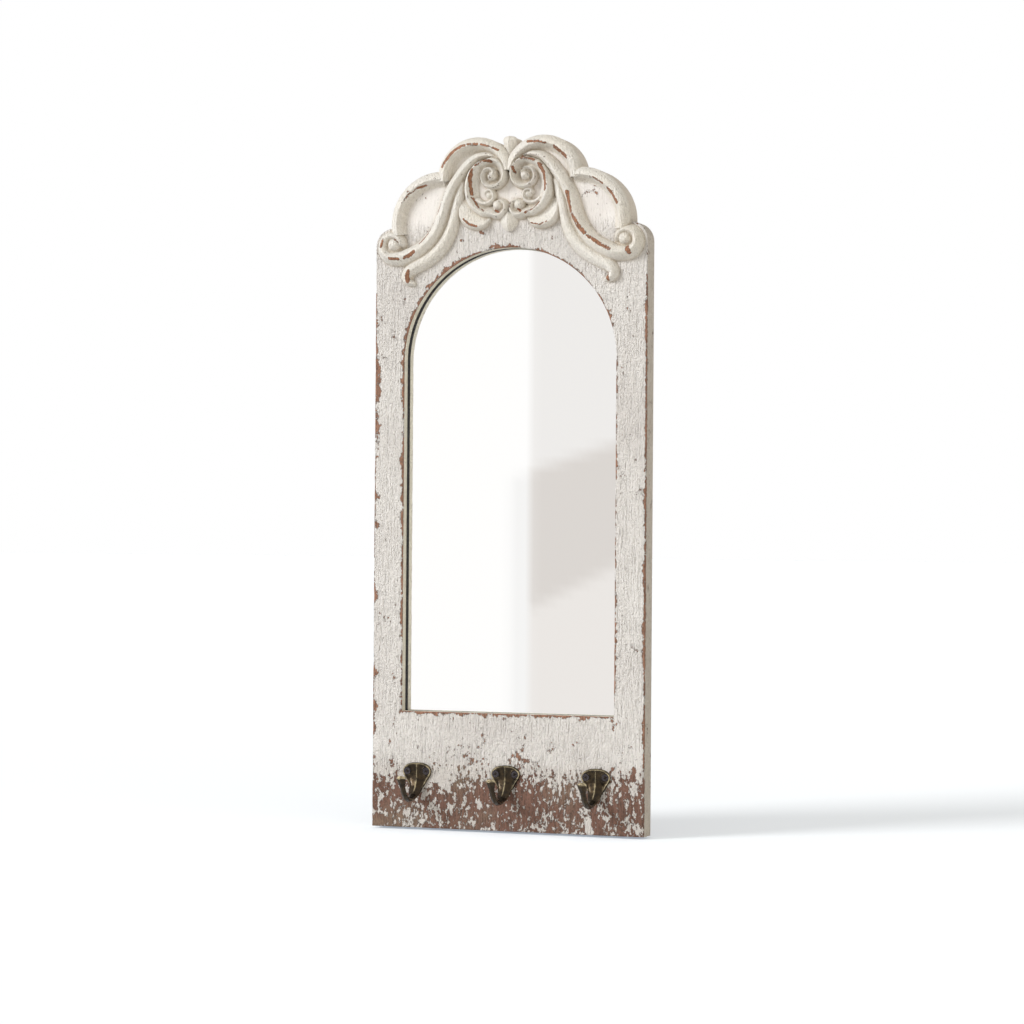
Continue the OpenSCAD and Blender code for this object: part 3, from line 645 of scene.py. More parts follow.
def distressed_paint(name, tones, crackled, pitting, shift):
    """Chalky paint over wood: crackled in upright wrinkles, darkened in the hollows by a stain and
    by painted shade, almost black where that mark is fullest as a painted shadow, pitted, and
    flaked off to the grained wood wherever the wear mark is high. Wood within the band mark takes
    the band's colour."""
    paint, shade, lit_cream_wall, stain_and_shade_tint, grain_dark, band_wood, faded_wood, bare_wood = tones
    f = Finish(name, shift)
    f.give("Specular IOR Level", 0.3)
    wear, shade_and_stain, band = f.mark("wear"), f.mark("shade_and_stain"), f.mark("band")
    crackle = f.times(f.mark("calm"), -0.75 * crackled, crackled)
    broad = f.noise(55, 3, 0.5)
    wrinkle = f.noise(1.5, 3, 0.6, tall=0.10)
    pebble = f.noise(1.35, 2, 0.5, tall=0.7)
    coarse = f.noise(11, 8, 0.70, tall=0.65)
    small = f.noise(1.8, 4, 0.62, tall=0.7)
    islands = f.noise(3.4, 4, 0.55, tall=0.6)
    fine = f.noise(0.7, 3, 0.5)
    grain = f.noise(1.5, 5, 0.65, tall=0.1)

    # Flakes: three clouds together against a limit that falls as the wear rises, and a dark
    # rim along their edge.
    clouds = f.times(f.math("SUBTRACT", coarse, 0.5), 1.7)
    small_weight, island_weight = f.rise(wear, 0.15, 0.6, 0.9, 1.5), f.times(band, 2.1)
    for cloud, weight in ((small, small_weight), (islands, island_weight)):
        clouds = f.math("ADD", clouds, f.times(f.math("SUBTRACT", cloud, 0.5), weight))
    over = f.math("ADD", clouds, f.times(wear, 0.72, -0.47))
    bare = f.rise(over, -0.012, 0.014)
    rim = f.math("SUBTRACT", 1.0, f.rise(f.math("ABSOLUTE", f.math("ADD", over, 0.02)), 0.0, 0.10))

    # The paint's own tones, then its crackle, its hollows darkened by stain and painted shade, its
    # pits, and the painted shadow where the shade mark is fullest.
    dull = f.blend(f.times(band, 0.2), shade, f.blend(0.5, shade, stain_and_shade_tint))
    tone = f.blend(f.math("MAXIMUM", f.rise(broad, 0.38, 0.66), band), paint, dull)
    # The opening's wall takes a paler, creamier paint: painted light on a shaded wall, with a cream
    # tint.
    tone = f.blend(f.mark("lit_cream_wall"), tone, lit_cream_wall)
    lines = f.times(f.rise(wrinkle, 0.45, 0.33), 0.25)
    specks = f.times(f.rise(pebble, 0.42, 0.28), 0.30)
    tone = f.blend(f.times(f.math("MAXIMUM", lines, specks), crackle), tone, grain_dark)
    # Hollows: part stain, part painted shade.
    tone = f.blend(f.times(shade_and_stain, f.rise(pebble, 0.35, 0.6, 1.0, 0.7)), tone, stain_and_shade_tint)
    pits = f.times(f.rise(small, 0.31, 0.27), f.rise(coarse, 0.42, 0.60, 0.05, pitting))
    tone = f.blend(pits, tone, grain_dark)
    # Almost black where the shade mark is fullest: painted shadow in the gap at the glass's edge
    # and on the ledge under the glass.
    tone = f.blend(f.rise(shade_and_stain, 0.88, 1.0), tone, tuple(0.06 * c for c in grain_dark))
    tone = f.blend(f.times(rim, f.rise(wear, 0.05, 0.5, 0.2, 0.8)), tone, grain_dark)

    # The bare wood, with its grain.
    mottle = f.rise(f.times(pebble, 0.4, f.times(grain, 0.6)), 0.36, 0.56)
    ground = f.blend(band, bare_wood, f.blend(f.rise(broad, 0.42, 0.58), band_wood, faded_wood))
    timber = f.blend(f.rise(mottle, 0.0, 1.0, 0.25, 1.0), grain_dark, ground)
    f.give("Base Color", f.blend(bare, tone, timber))
    f.give("Roughness", f.rise(pebble, 0.3, 0.7, 0.55, 0.78))

    height = f.times(f.times(pebble, 3.2, f.times(wrinkle, 3.6)), crackle)
    height = f.times(f.times(fine, 0.15, height), f.rise(bare, 0.0, 1.0, 1.0, 0.4))
    height = f.times(bare, -1.3, height)
    f.bump(f.times(grain, f.times(bare, 0.6), height), 0.95)
    return f.material


def antique_bronze(colours):
    """Dark cast bronze, with brassy edges where hands rub it and a faintly uneven skin."""
    f = Finish("antique_bronze", Metallic=0.9, Coat_Weight=0.2, Coat_Roughness=0.1)
    cast, grain = f.noise(3.0, 4, 0.55), f.noise(0.6, 2, 0.5)
    rub = f.rise(f.times(cast, 0.9, f.math("SUBTRACT", f.mark("edge"), 0.45)), 0.42, 0.95)
    body = f.blend(f.rise(cast, 0.30, 0.72), linear(colours.bronze_dark), linear(colours.bronze))
    f.give("Base Color", f.blend(rub, body, linear(colours.bronze_rubbed)))
    dulled = f.math("SUBTRACT", cast, f.times(rub, 0.2))
    f.give("Roughness", f.rise(dulled, 0.2, 0.7, 0.13, 0.27))
    f.bump(f.times(grain, 0.02, f.times(cast, 0.10)), 0.5)
    return f.material


def plain_metal(name, dark, light, rough, size):
    """Sheet or screw metal: two tones in small clouds, with fine scratches."""
    f = Finish(name, Metallic=1.0)
    cloud, fine = f.noise(size, 4, 0.6), f.noise(0.5, 2, 0.5, tall=0.2)
    f.give("Base Color", f.blend(f.rise(cloud, 0.35, 0.65), linear(dark), linear(light)))
    f.give("Roughness", f.rise(cloud, 0.3, 0.7, rough - 0.07, rough + 0.1))
    f.bump(f.times(fine, 0.02), 0.5)
    return f.material


def mirror_silver(colours):
    """Silvered glass: a clean mirror with the least grey in it."""
    f = Finish("mirror_silver", Metallic=1.0)
    f.give("Base Color", linear(colours.silver))
    f.give("Roughness", f.rise(f.noise(160, 2, 0.5), 0.4, 0.7, 0.008, 0.018))
    return f.material


def fibre_sheet(name, dark, light, size):
    """Pressed fibre or card: mottled, matt, with short fibres in its face."""
    f = Finish(name)
    mottle, fibre = f.noise(size, 5, 0.65), f.noise(1.4, 4, 0.6, tall=0.35)
    tone = f.blend(f.rise(mottle, 0.35, 0.66), linear(dark), linear(light))
    f.give("Base Color", f.blend(f.rise(fibre, 0.55, 0.75, 0.0, 0.5), tone, linear(dark)))
    f.give("Roughness", f.rise(fibre, 0.3, 0.7, 0.7, 0.9))
    f.bump(f.times(fibre, 0.12), 0.6)
    return f.material


def soft_rubber(dark, light):
    """Grey rubber of the wall pads."""
    f = Finish("soft_rubber")
    fine = f.noise(0.8, 3, 0.5)
    f.give("Base Color", f.blend(f.rise(fine, 0.35, 0.65), linear(dark), linear(light)))
    f.give("Roughness", f.rise(fine, 0.3, 0.7, 0.7, 0.85))
    f.bump(f.times(fine, 0.05), 0.5)
    return f.material


# ------------------------------------------------------------------ settings


def colour_setting(name, description, rgb):
    """A colour given as three screen values from 0 to 255."""
    return FloatVectorProperty(
        name=name, description=description, default=rgb, size=3, min=0, max=255
    )


def length_setting(name, description, value):
    """A length, stored in metres and given here in millimetres."""
    return FloatProperty(
        name=name, description=description, default=value * MM, min=0,
        unit="LENGTH", subtype="DISTANCE",
    )


def number_setting(name, description, value, **limits):
    """A plain number, not below zero."""
    return FloatProperty(name=name, description=description, default=value, min=0, **limits)


class BoardSettings(PropertyGroup):
    edge_round: length_setting("Edge rounding", "Radius of the board's front edges", 1.2)
    chip_depth: length_setting("Chip depth", "How deep the knocks in the edges go", 0.5)
    band_height: length_setting("Worn band", "Height of the worn band at the board's foot", 45.0)
    band_edge: length_setting("Band's ragged edge", "How far the band's upper limit wanders", 8.0)
    chipping: number_setting(
        "Chipping", "Share of the edges whose paint has come off", 0.55, max=1
    )


class CrestSettings(PropertyGroup):
    s_scroll_height: length_setting("S-scroll", "Height of the S-scroll's ridge", 11.5)
    c_scroll_height: length_setting("C-scroll", "Height of the C-scroll's ridge", 11.5)
    tail_height: length_setting("Lower ribbon", "Height of the lower ribbon's ridge", 7.5)
    leaf_height: length_setting("Leaf", "Height of the leaf's rim", 7.5)
    border_height: length_setting("Border", "Height of the border moulding's ridge", 9.5)
    stem_height: length_setting("Stem", "Height of the drop between the scrolls", 8.0)
    finial_height: length_setting("Finial", "Height of the finial's ridge", 6.0)


class HookSettings(PropertyGroup):
    reach: length_setting("Reach", "Distance of the prong's foremost point from the board", 44.9)
    prong_width: length_setting("Prong width", "Width of the prong where it rises", 5.2)
    prong_thickness: length_setting("Prong thickness", "Thickness of the prong", 4.3)
    tip_width: length_setting("Tip width", "Width of the prong's flared tip", 9.0)
    plate_thickness: length_setting("Plate thickness", "Thickness of the hook's plate", 2.6)


class ColourSettings(PropertyGroup):
    paint: colour_setting("Paint", "Chalky paint on the flat faces", (241, 237, 234))
    paint_shade: colour_setting("Paint shade", "Darker tone of the paint", (231, 226, 223))
    crest_paint: colour_setting("Crest paint", "Paint on the carving", (244, 240, 234))
    crest_shade: colour_setting("Crest shade", "Darker tone of the carving", (240, 234, 224))
    # Tint of the hollows: part stain, part painted shade. It is also mixed into the worn band's
    # paint.
    stain_and_shade_tint: colour_setting("Stain", "Stain in the hollows", (186, 168, 140))
    # Paler, creamier paint on the opening's wall: painted light that lifts the wall out of its
    # shade, with a cream tint.
    lit_cream_wall: colour_setting("Aged paint", "Yellowed paint round the glass", (246, 240, 222))
    wood: colour_setting("Band wood", "Bare wood of the worn band", (126, 92, 78))
    faded_wood: colour_setting("Faded wood", "Bare wood of the band gone grey", (138, 116, 98))
    edge_wood: colour_setting("Edge wood", "Bare wood of the rest of the board", (164, 122, 100))
    wood_dark: colour_setting("Wood grain", "Dark grain of the board's wood", (58, 44, 36))
    crest_wood: colour_setting("Crest wood", "Bare ground of the carving", (170, 121, 93))
    bronze: colour_setting("Bronze", "Body of the hooks", (64, 51, 32))
    bronze_dark: colour_setting("Dark bronze", "Darkest tone of the hooks", (27, 20, 12))
    bronze_rubbed: colour_setting("Rubbed bronze", "Edges of the hooks", (178, 164, 132))
    silver: colour_setting("Silvering", "Tint of the mirror", (253, 253, 253))


class StageSettings(PropertyGroup):
    sky: number_setting("Sky", "Strength of the light from all round", 0.52)
    key: number_setting("Key light", "Strength of the main light", 2.26)
    fill: number_setting("Fill light", "Strength of the second light", 0.66)
    floor_drop: length_setting("Floor below", "Distance of the floor below the board", 0.0)


SETTINGS = {
    "mirror_board": BoardSettings,
    "mirror_crest": CrestSettings,
    "mirror_hooks": HookSettings,
    "mirror_colours": ColourSettings,
    "mirror_stage": StageSettings,
}


# The paints by their own colour settings, then their crackle, pitting and pattern's place.
PAINTS = {
    "board_paint": (("paint", "paint_shade", "edge_wood"), 1.0, 0.4, (0.0, 0.0, 0.0)),
    "crest_paint": (("crest_paint", "crest_shade", "crest_wood"), 0.65, 0.1, (3.1, 1.7, 0.4)),
}


def old_paint(name, colours):
    """The paint of the flat board or of the carving, made once."""
    (paint, shade, wood), crackled, pitting, shift = PAINTS[name]
    tones = (paint, shade, "lit_cream_wall", "stain_and_shade_tint", "wood_dark", "wood", "faded_wood", wood)
    tones = [linear(getattr(colours, tone)) for tone in tones]
    return bpy.data.materials.get(name) or distressed_paint(name, tones, crackled, pitting, shift)


# ------------------------------------------------------------------ the board

BOARD_RAYS = 690  # directions round the board
FACE_STEPS = 97  # rows across its front face
BACK_EDGE = 0.5  # width of the small bevel along its back edge


def board_angles(count):
    """Directions round the board: even steps of arc length, twice as dense along the crest,
    with the corners of the board and of the opening hit exactly."""
    dense = np.linspace(-math.pi / 2, 1.5 * math.pi, 24001)[:-1]
    r = board_exit(dense)
    x, z = r * np.cos(dense), MIDDLE_Z + r * np.sin(dense)
    step = np.hypot(np.diff(x, append=x[:1]), np.diff(z, append=z[:1]))
    step *= np.where(z > SHOULDER[1] - 20, 2.2, 0.8)
    run = np.concatenate([[0], np.cumsum(step)])
    even = np.interp(np.linspace(0, run[-1], count + 1)[:-1], run[:-1], dense)
    corners = [
        math.atan2(low - MIDDLE_Z, side * half) % (2 * math.pi)
        for half, low in (
            (BOARD_W / 2, 0), (OPENING_R, SILL_Z), (OPENING_R + REBATE_W, SILL_Z - REBATE_W),
        )
        for side in (-1, 1)
    ]
    corners = np.array([a - 2 * math.pi if a > 1.5 * math.pi else a for a in corners])
    near = np.abs(even[:, None] - corners).min(axis=1) < 0.0012
    return np.sort(np.concatenate([even[~near], corners]))


def steepness(theta, r):
    """Cosine between each ray and the outline's normal, kept above 0.35."""
    x, z = r * np.cos(theta), r * np.sin(theta)
    dx = np.roll(x, -1) - np.roll(x, 1)
    dz = np.roll(z, -1) - np.roll(z, 1)
    across = np.abs(dz * np.cos(theta) - dx * np.sin(theta))
    return np.clip(across / np.maximum(np.hypot(dx, dz), 1e-9), 0.35, 1)


def build_board(sizes, material):
    """The board as one closed ring. Round it goes the direction from its middle. Across it goes
    a section: front face, rounded outer edge, side, back, rebate, ledge and opening edge. The
    front edges are eaten back by noise, which makes the knocks and chips."""
    theta = board_angles(BOARD_RAYS)
    level = 0 * theta
    outer, inner, rebate = board_exit(theta), arch_exit(theta, 0), arch_exit(theta, REBATE_W)
    lean_out, lean_in = steepness(theta, outer), steepness(theta, inner)
    ox, oz = outer * np.cos(theta), MIDDLE_Z + outer * np.sin(theta)
    ix, iz = inner * np.cos(theta), MIDDLE_Z + inner * np.sin(theta)
    bite, soft = sizes.chip_depth / MM, sizes.edge_round / MM
    chip_out = bite * smooth_step(rough_noise(ox, oz, 9, 11), 0.50, 0.72)
    chip_in = bite * smooth_step(rough_noise(ix, iz, 7, 21), 0.50, 0.72)
    turn = np.radians([8, 26, 45, 64, 82])

    # Each column is a line round the board: its distance from the middle, and its height.
    columns, zones = [], []

    def end_zone(name):
        """Names the columns added since the last zone."""
        zones.extend([name] * (len(columns) - len(zones)))

    def rounding(angle, chip):
        """How far back and how deep the rounded edge lies at an angle of its turn."""
        back = soft * (1 - math.sin(angle)) + chip * (1 - math.sin(angle) * 0.6)
        return back, -soft * (1 - math.cos(angle)) - chip * 0.2

    face_in = inner + (soft + chip_in) / lean_in
    face_out = outer - (soft + chip_out) / lean_out
    for share in np.linspace(0, 1, FACE_STEPS):
        columns.append((face_in + (face_out - face_in) * share, level))
    for angle in turn:
        back, h = rounding(angle, chip_out)
        columns.append((outer - back / lean_out, h))
    end_zone("front")
    for depth in np.linspace(soft + 0.3, BOARD_T - BACK_EDGE, 10):
        chip = chip_out * 0.4 * math.exp(-depth / 3)
        columns.append((outer - chip / lean_out, level - depth))
    columns.append((outer - 0.3 * BACK_EDGE / lean_out, level - (BOARD_T - 0.3 * BACK_EDGE)))
    end_zone("side")
    back_out = outer - BACK_EDGE / lean_out
    for share in np.linspace(0, 1, 12):
        columns.append((back_out + (rebate - back_out) * share, level - BOARD_T))
    for depth in np.linspace(BOARD_T, -LEDGE_H, 5)[1:]:
        columns.append((rebate, level - depth))
    end_zone("back")
    for share in (0.5, 1.0):
        columns.append((rebate + (inner - rebate) * share, level + LEDGE_H))
    end_zone("ledge")
    for h in (*(LEDGE_H + rise for rise in (0.6, 3.4, 4.0, 5.2)), -5.0, -3.0, -soft - 0.3):
        columns.append((inner, level + h))
    end_zone("wall")
    for angle in turn[::-1]:
        back, h = rounding(angle, chip_in)
        columns.append((inner + back / lean_in, h))
    end_zone("front")
    zones = np.array(zones)
    side, back, ledge, wall = (zones == name for name in ("side", "back", "ledge", "wall"))

    r, h = (np.stack(values, axis=1) for values in zip(*columns))
    x, z = r * np.cos(theta)[:, None], MIDDLE_Z + r * np.sin(theta)[:, None]
    h = np.where(h == 0, wander(x, z, 30, 31) * 0.12 - 0.1, h)
    d_out = (outer[:, None] - r) * lean_out[:, None] - h.clip(None, 0) * 0.6
    d_in = (r - inner[:, None]) * lean_in[:, None] - h.clip(None, 0) * 0.6
    points = on_board(x, z, h).reshape(-1, 3)
    # Painted shadow: the opening's wall goes dark towards the glass, where the gap at its edge lies
    # in shade.
    painted_gap_shadow = smooth_step(-h, -LEDGE_H - 4.0, -LEDGE_H - 3.4) * wall
    marks = {
        "wear": np.where(back, 2.0, board_wear(sizes, x, z, h, d_out, d_in)),
        # The board's shade-and-stain mark: painted shade on the face beside the carving, on the
        # side face and on the ledge under the glass, plus the painted shadow at the glass's edge.
        "shade_and_stain": np.maximum(0.6 * cavity_at(x, z, 0 * h) * (h > -2), painted_gap_shadow + 0.5 * side + ledge),
        "band": smooth_step(sizes.band_height / MM + 26 - z, 0, 16) * (h > -2.0),
        "calm": smooth_step(z, SHOULDER[1] + 10, SHOULDER[1] + 26),
        # Painted light on the opening's wall, given through its paler, creamier paint.
        "lit_cream_wall": wall + 0 * x,
    }
    return add_mesh("board", points, grid_quads(*x.shape, True, True), marks, material, 50)


def band_wear(sizes, x, z):
    """The mottled band at the foot: its upper limit lifts and wanders across the board, and it
    thins out upward. A tan patch within it is the barest."""
    limit = sizes.band_height / MM + wander(x, 0 * z, 18, 41) * sizes.band_edge / MM
    limit = limit + np.interp(x, *np.transpose(BAND_LIFT))
    body = 0.94 + 0.20 * wander(x * 1.6, z * 0.8, 16, 51)
    body = body - 0.12 * smooth_step(-60 - x, 0, 20) + 0.10 * smooth_step(-104 - x, 0, 16)
    body = body - 0.08 * smooth_step(13 - z, 0, 8) * (x > -100)
    band = body * smooth_step(limit - z, -30, 8) * (1 - rubbed_at(x, z, PAINT_LEFT))
    tan_patch = smooth_step(1 - np.hypot((x + 44) / 19, (z - 27) / 19), 0.05, 0.5)
    return np.maximum(band, 0.88 * tan_patch)


def opening_wear(x, z, away):
    """The opening's front edge: heavy along the sill, over the arch's left half and up its left
    side, and in short runs elsewhere."""
    angle = np.degrees(np.arctan2(z - ARCH_Z, x))
    upright = np.where(x < 0, 0.5 + 0.5 * smooth_step(z, 290, 340), 0.35)
    heavy = np.where(z > ARCH_Z, 0.3 + 0.7 * smooth_step(angle, 50, 110), upright)
    sill = (z < SILL_Z + 6) & (np.abs(x) < OPENING_R)
    heavy = np.maximum(heavy, 0.95 * sill)
    run = smooth_step(rough_noise(x, z, 16, 61) + 0.34 * heavy, 0.44, 0.72)
    reach = 1.0 + 9.0 * (0.15 + heavy) * rough_noise(x, z, 4, 63) ** 2.4
    return bell(away, reach) * (0.35 + 0.65 * run)


def outline_wear(x, z, away):
    """The outline's front edge: in runs, more of them on the right but deeper ones on the left,
    and little on the crest."""
    knocked = 0.30 * (x > 60) + 0.10 * (x < -60)
    run = smooth_step(rough_noise(x, z, 20, 71) + knocked, 0.44, 0.66)
    deep = smooth_step(rough_noise(x, z, 13, 73), 0.50, 0.78)
    reach = 1.7 + (4.8 - 3.0 * (x > 60)) * deep
    return bell(away, reach) * (0.40 + 0.60 * run) * (1 - 0.7 * smooth_step(z, 500, 522))


def board_wear(sizes, x, z, h, d_out, d_in):
    """Where the paint has come off, 0 to 1: the band at the foot, the front edges in runs, the
    sides more than the face, stray flakes, and the knocks."""
    share = sizes.chipping * 1.9
    inner_edge = share * opening_wear(x, z, np.maximum(d_in, 0)) * (h > -1.5)
    outer_edge = share * outline_wear(x, z, np.maximum(d_out, 0)) * (h > -2.0)
    side = (h < -1.5) * np.where(d_out < d_in, 0.20 + 0.1 * wander(x, z * 0.4, 12, 81), 0.1)
    flakes = smooth_step(rough_noise(x * 1.5, z * 0.7, 6, 95), 0.66, 0.80)
    flakes = flakes * (0.08 + 0.18 * smooth_step(200 - z, 0, 80)) * (z < SHOULDER[1])
    scatter = 0.13 + 0.10 * smooth_step(rough_noise(x, z, 60, 91), 0.45, 0.7) + flakes
    scatter = scatter + 0.13 * smooth_step(100 - z, 0, 40)
    face = np.maximum.reduce([band_wear(sizes, x, z), scatter, rubbed_at(x, z, BOARD_RUBBED)])
    return np.clip(np.maximum.reduce([face * (h > -1.5), inner_edge, outer_edge, side]), 0, 1)


class MIRROR_OT_board(Operator):
    """The painted board with its arched opening, worn band and chipped edges"""

    bl_idname = "hook_mirror.board"
    bl_label = "Board"

    def execute(self, context):
        scene = context.scene
        RELIEF.update(crest_relief(scene.mirror_crest))
        paint = old_paint("board_paint", scene.mirror_colours)
        piece = build_board(scene.mirror_board, paint)
        seat(piece, "frame_board")
        return {"FINISHED"}


# ------------------------------------------------------------------ the crest's carving

SEAM = 0.1  # the two halves of the carving keep this far from the centreline
SUNK, BORDER_SUNK = 0.6, 1.5  # how deep the carving's undersides lie in the board

# Runs of rubbed paint along the ridges as (half width, strength, points on the board).
RUBBED = [
    (2.0, 0.95, [(-64.9, 623), (-60, 630), (-54.3, 636.5)]),
    (1.6, 0.85, [(-54, 637), (-46, 641.5), (-39, 642.8), (-30, 643)]),
    (1.2, 0.75, [(-26, 642.5), (-17, 640), (-9, 636.5)]),
    (1.5, 0.8, [(20, 643.5), (31, 643.6), (38, 641.6)]),
    (2.0, 0.9, [(46, 637.5), (51.5, 633.3), (57, 628.4)]),
    (0.9, 0.6, [(-105, 590), (-99, 598), (-90, 604), (-82, 606.5)]),
    (1.2, 0.8, [(80, 609), (86, 607), (93, 602.5)]),
    (1.9, 0.9, [(98, 597.5), (103, 591.5), (107, 584)]),
    (1.4, 0.8, [(-16, 626.5), (-24.5, 627.1), (-31, 623)]),
    (1.5, 0.86, [(-34.5, 618.8), (-37, 611), (-36.9, 604.4), (-35.5, 596)]),
    (1.2, 0.75, [(-34.8, 593), (-29, 584), (-23, 579.5)]),
    (1.5, 0.8, [(14, 628.3), (22, 627.6), (27, 626)]),
    (2.2, 0.95, [(32, 621.5), (36.2, 614), (37.4, 606), (37.5, 599)]),
    (1.3, 0.8, [(31, 587), (26, 581), (18.5, 577.3)]),
    (1.4, 0.85, [(5.6, 620.3), (6.6, 615.5)]),
    (1.0, 0.7, [(15, 619), (13.2, 616)]),
    (2.1, 0.95, [(59.8, 595), (61.2, 586), (63.2, 577)]),
    (2.1, 0.95, [(64.5, 574), (70.4, 564), (77, 556.5)]),
    (1.9, 0.9, [(80, 554), (90, 547), (101, 541)]),
    (2.2, 0.95, [(117.8, 542.1), (119.8, 538)]),
    (0.8, 0.6, [(-62, 600), (-66, 588), (-70, 578)]),
    (1.1, 0.75, [(-73, 572), (-79, 561), (-87, 551)]),
    (1.7, 0.9, [(-92, 543.5), (-97, 540), (-102, 538)]),
    (1.5, 0.85, [(-108, 537), (-117, 537.6)]),
    (1.3, 0.85, [(-124, 556.4), (-125.6, 549)]),
    (1.0, 0.7, [(-113, 556), (-109, 553)]),
    (1.9, 0.95, [(-98.6, 525.6), (-100.4, 521), (-99.5, 516)]),
    (1.6, 0.95, [(97.2, 519), (98.2, 513.5)]),
    (1.2, 0.8, [(-43.7, 573), (-37.6, 568.1), (-30.6, 565.9)]),
    (0.9, 0.85, [(22.8, 568.2), (31.8, 566.0), (38.7, 568.9)]),
    (1.3, 0.8, [(10, 581), (13, 578.5)]),
    (1.2, 0.75, [(-13, 580.5), (-8.5, 578.5)]),
]

# How much higher the worn band reaches at each place across the board.
BAND_LIFT = [(-134, -9), (-100, -10), (-50, -12), (-5, -6), (15, 3), (60, 1), (100, -6), (134, -4)]

# Small knocks on the flat board, given in the same way.
BOARD_RUBBED = [
    (3.0, 0.85, [(-134.6, 456), (-134.4, 450)]),
    (6.2, 1.00, [(-134.6, 435), (-134.2, 423)]),
    (5.4, 1.00, [(-134.6, 414), (-134.4, 405)]),
    (4.6, 0.82, [(-134.6, 401), (-134.4, 384)]),
    (5.0, 0.66, [(-134.2, 381), (-133.4, 358)]),
    (1.2, 0.75, [(82.6, 602.8), (83.2, 601.6)]),
    (1.2, 0.75, [(84.9, 594.5), (85.4, 593.2)]),
    (1.3, 0.75, [(85.9, 584.5), (86.6, 583.6)]),
    (1.2, 0.70, [(94.6, 584.6), (95.3, 584.2)]),
    (1.5, 0.75, [(-48.5, 553.9), (-46.5, 553.6)]),
    (1.6, 0.80, [(-28.9, 561.4), (-24.5, 558.9)]),
    (1.3, 0.75, [(42.4, 555.5), (42.2, 552.5)]),
    (1.5, 0.80, [(-113.0, 101.0), (-113.2, 95.5)]),
    (1.0, 0.75, [(-53.0, 105.0), (-52.5, 101.5)]),
    (1.0, 0.75, [(-36.5, 106.0), (-36.5, 100.5)]),
    (0.9, 0.70, [(104.5, 103.0), (104.5, 97.0)]),
    (1.6, 0.75, [(66.8, 85.4), (66.9, 83.0)]),
    (3.4, 0.90, [(125.0, 61.4), (125.0, 53.2)]),
    (7.0, 0.85, [(-119.4, 40.2), (-115.0, 22.0)]),
]

# Places within the worn band that kept their paint, given in the same way.
PAINT_LEFT = [
    (4.0, 0.50, [(-100.8, 19.7), (-100.6, 1.4)]),
    (2.6, 0.45, [(-127.0, 28.6), (-127.0, 14.4)]),
    (3.0, 0.35, [(-84.9, 18.4), (-84.8, 7.7)]),
    (2.2, 0.40, [(-51.7, 39.5), (-51.6, 26.6)]),
    (6.5, 0.28, [(10.8, 21.7), (9.4, 4.9)]),
    (5.0, 0.28, [(34.5, 21.3), (34.6, 10.2)]),
    (3.6, 0.60, [(79.2, 23.2), (80.2, 3.9)]),
    (12.0, 0.25, [(99.0, 40.6), (112.0, 28.0)]),
    (6.0, 0.35, [(122.3, 12.7), (131.0, 3.4)]),
]


def rubbed_at(x, z, runs):
    """Strength of the nearest run of rubbed paint, falling as exp(-(distance / half width)^4)."""
    mark = np.zeros(np.shape(x))
    for half, strength, run in runs:
        for (ax, az), (bx, bz) in zip(run, run[1:]):
            t = ((x - ax) * (bx - ax) + (z - az) * (bz - az)) / ((bx - ax) ** 2 + (bz - az) ** 2)
            t = np.clip(t, 0, 1)
            away = np.hypot(x - ax - t * (bx - ax), z - az - t * (bz - az))
            mark = np.maximum(mark, strength * np.exp(-((away / half) ** 4)))
    return mark


def carving_wear(x, z, ridge):
    """Where the carving's paint has come off: the rubbed runs, the ridges in small patches, and
    a few knocks."""
    patch = smooth_step(rough_noise(x, z, 9, 101), 0.55, 0.75)
    knocks = smooth_step(rough_noise(x, z, 4.5, 121), 0.76, 0.88)
    rubbed = rubbed_at(x, z, RUBBED) * (0.85 + 0.5 * rough_noise(x, z, 5, 161))
    return np.clip(np.maximum(rubbed, 0.12 + 0.32 * ridge * patch + 0.25 * knocks), 0, 1)


def ridge_mark(field):
    """1 along the ridges of a height field, where it stands above its own blur."""
    return np.clip((field - soften(np.maximum(field, 0), 4.0)) / 1.1 - 0.4, 0, 1)


def carved_scroll(name, key, side, material):
    """One height field as a closed solid: the cells where the field is above the board, over a
    flat underside sunk a little into it. The far side is its mirror image."""
    field = soften(RELIEF[key], 0.8)
    x, z = RELIEF["x"], RELIEF["z"]
    up = field > -0.4
    keep = up[:-1, :-1] & up[:-1, 1:] & up[1:, 1:] & up[1:, :-1] & (x[:-1, 1:] > SEAM)
    across = side * np.maximum(x, SEAM)
    h = np.maximum(field, -0.45) + 0.05 * wander(x * side, z, 3.0, 131) * (field > 0.5)
    marks = {
        "wear": carving_wear(across, z, ridge_mark(field)),
        # Hollows darkened by a stain and by painted shade.
        "shade_and_stain": cavity_at(x, z, h),
    }
    top, under = on_board(across, z, h), on_board(across, z, 0 * h - SUNK)
    return closed_grid(name, top, under, marks, material, 70, keep)


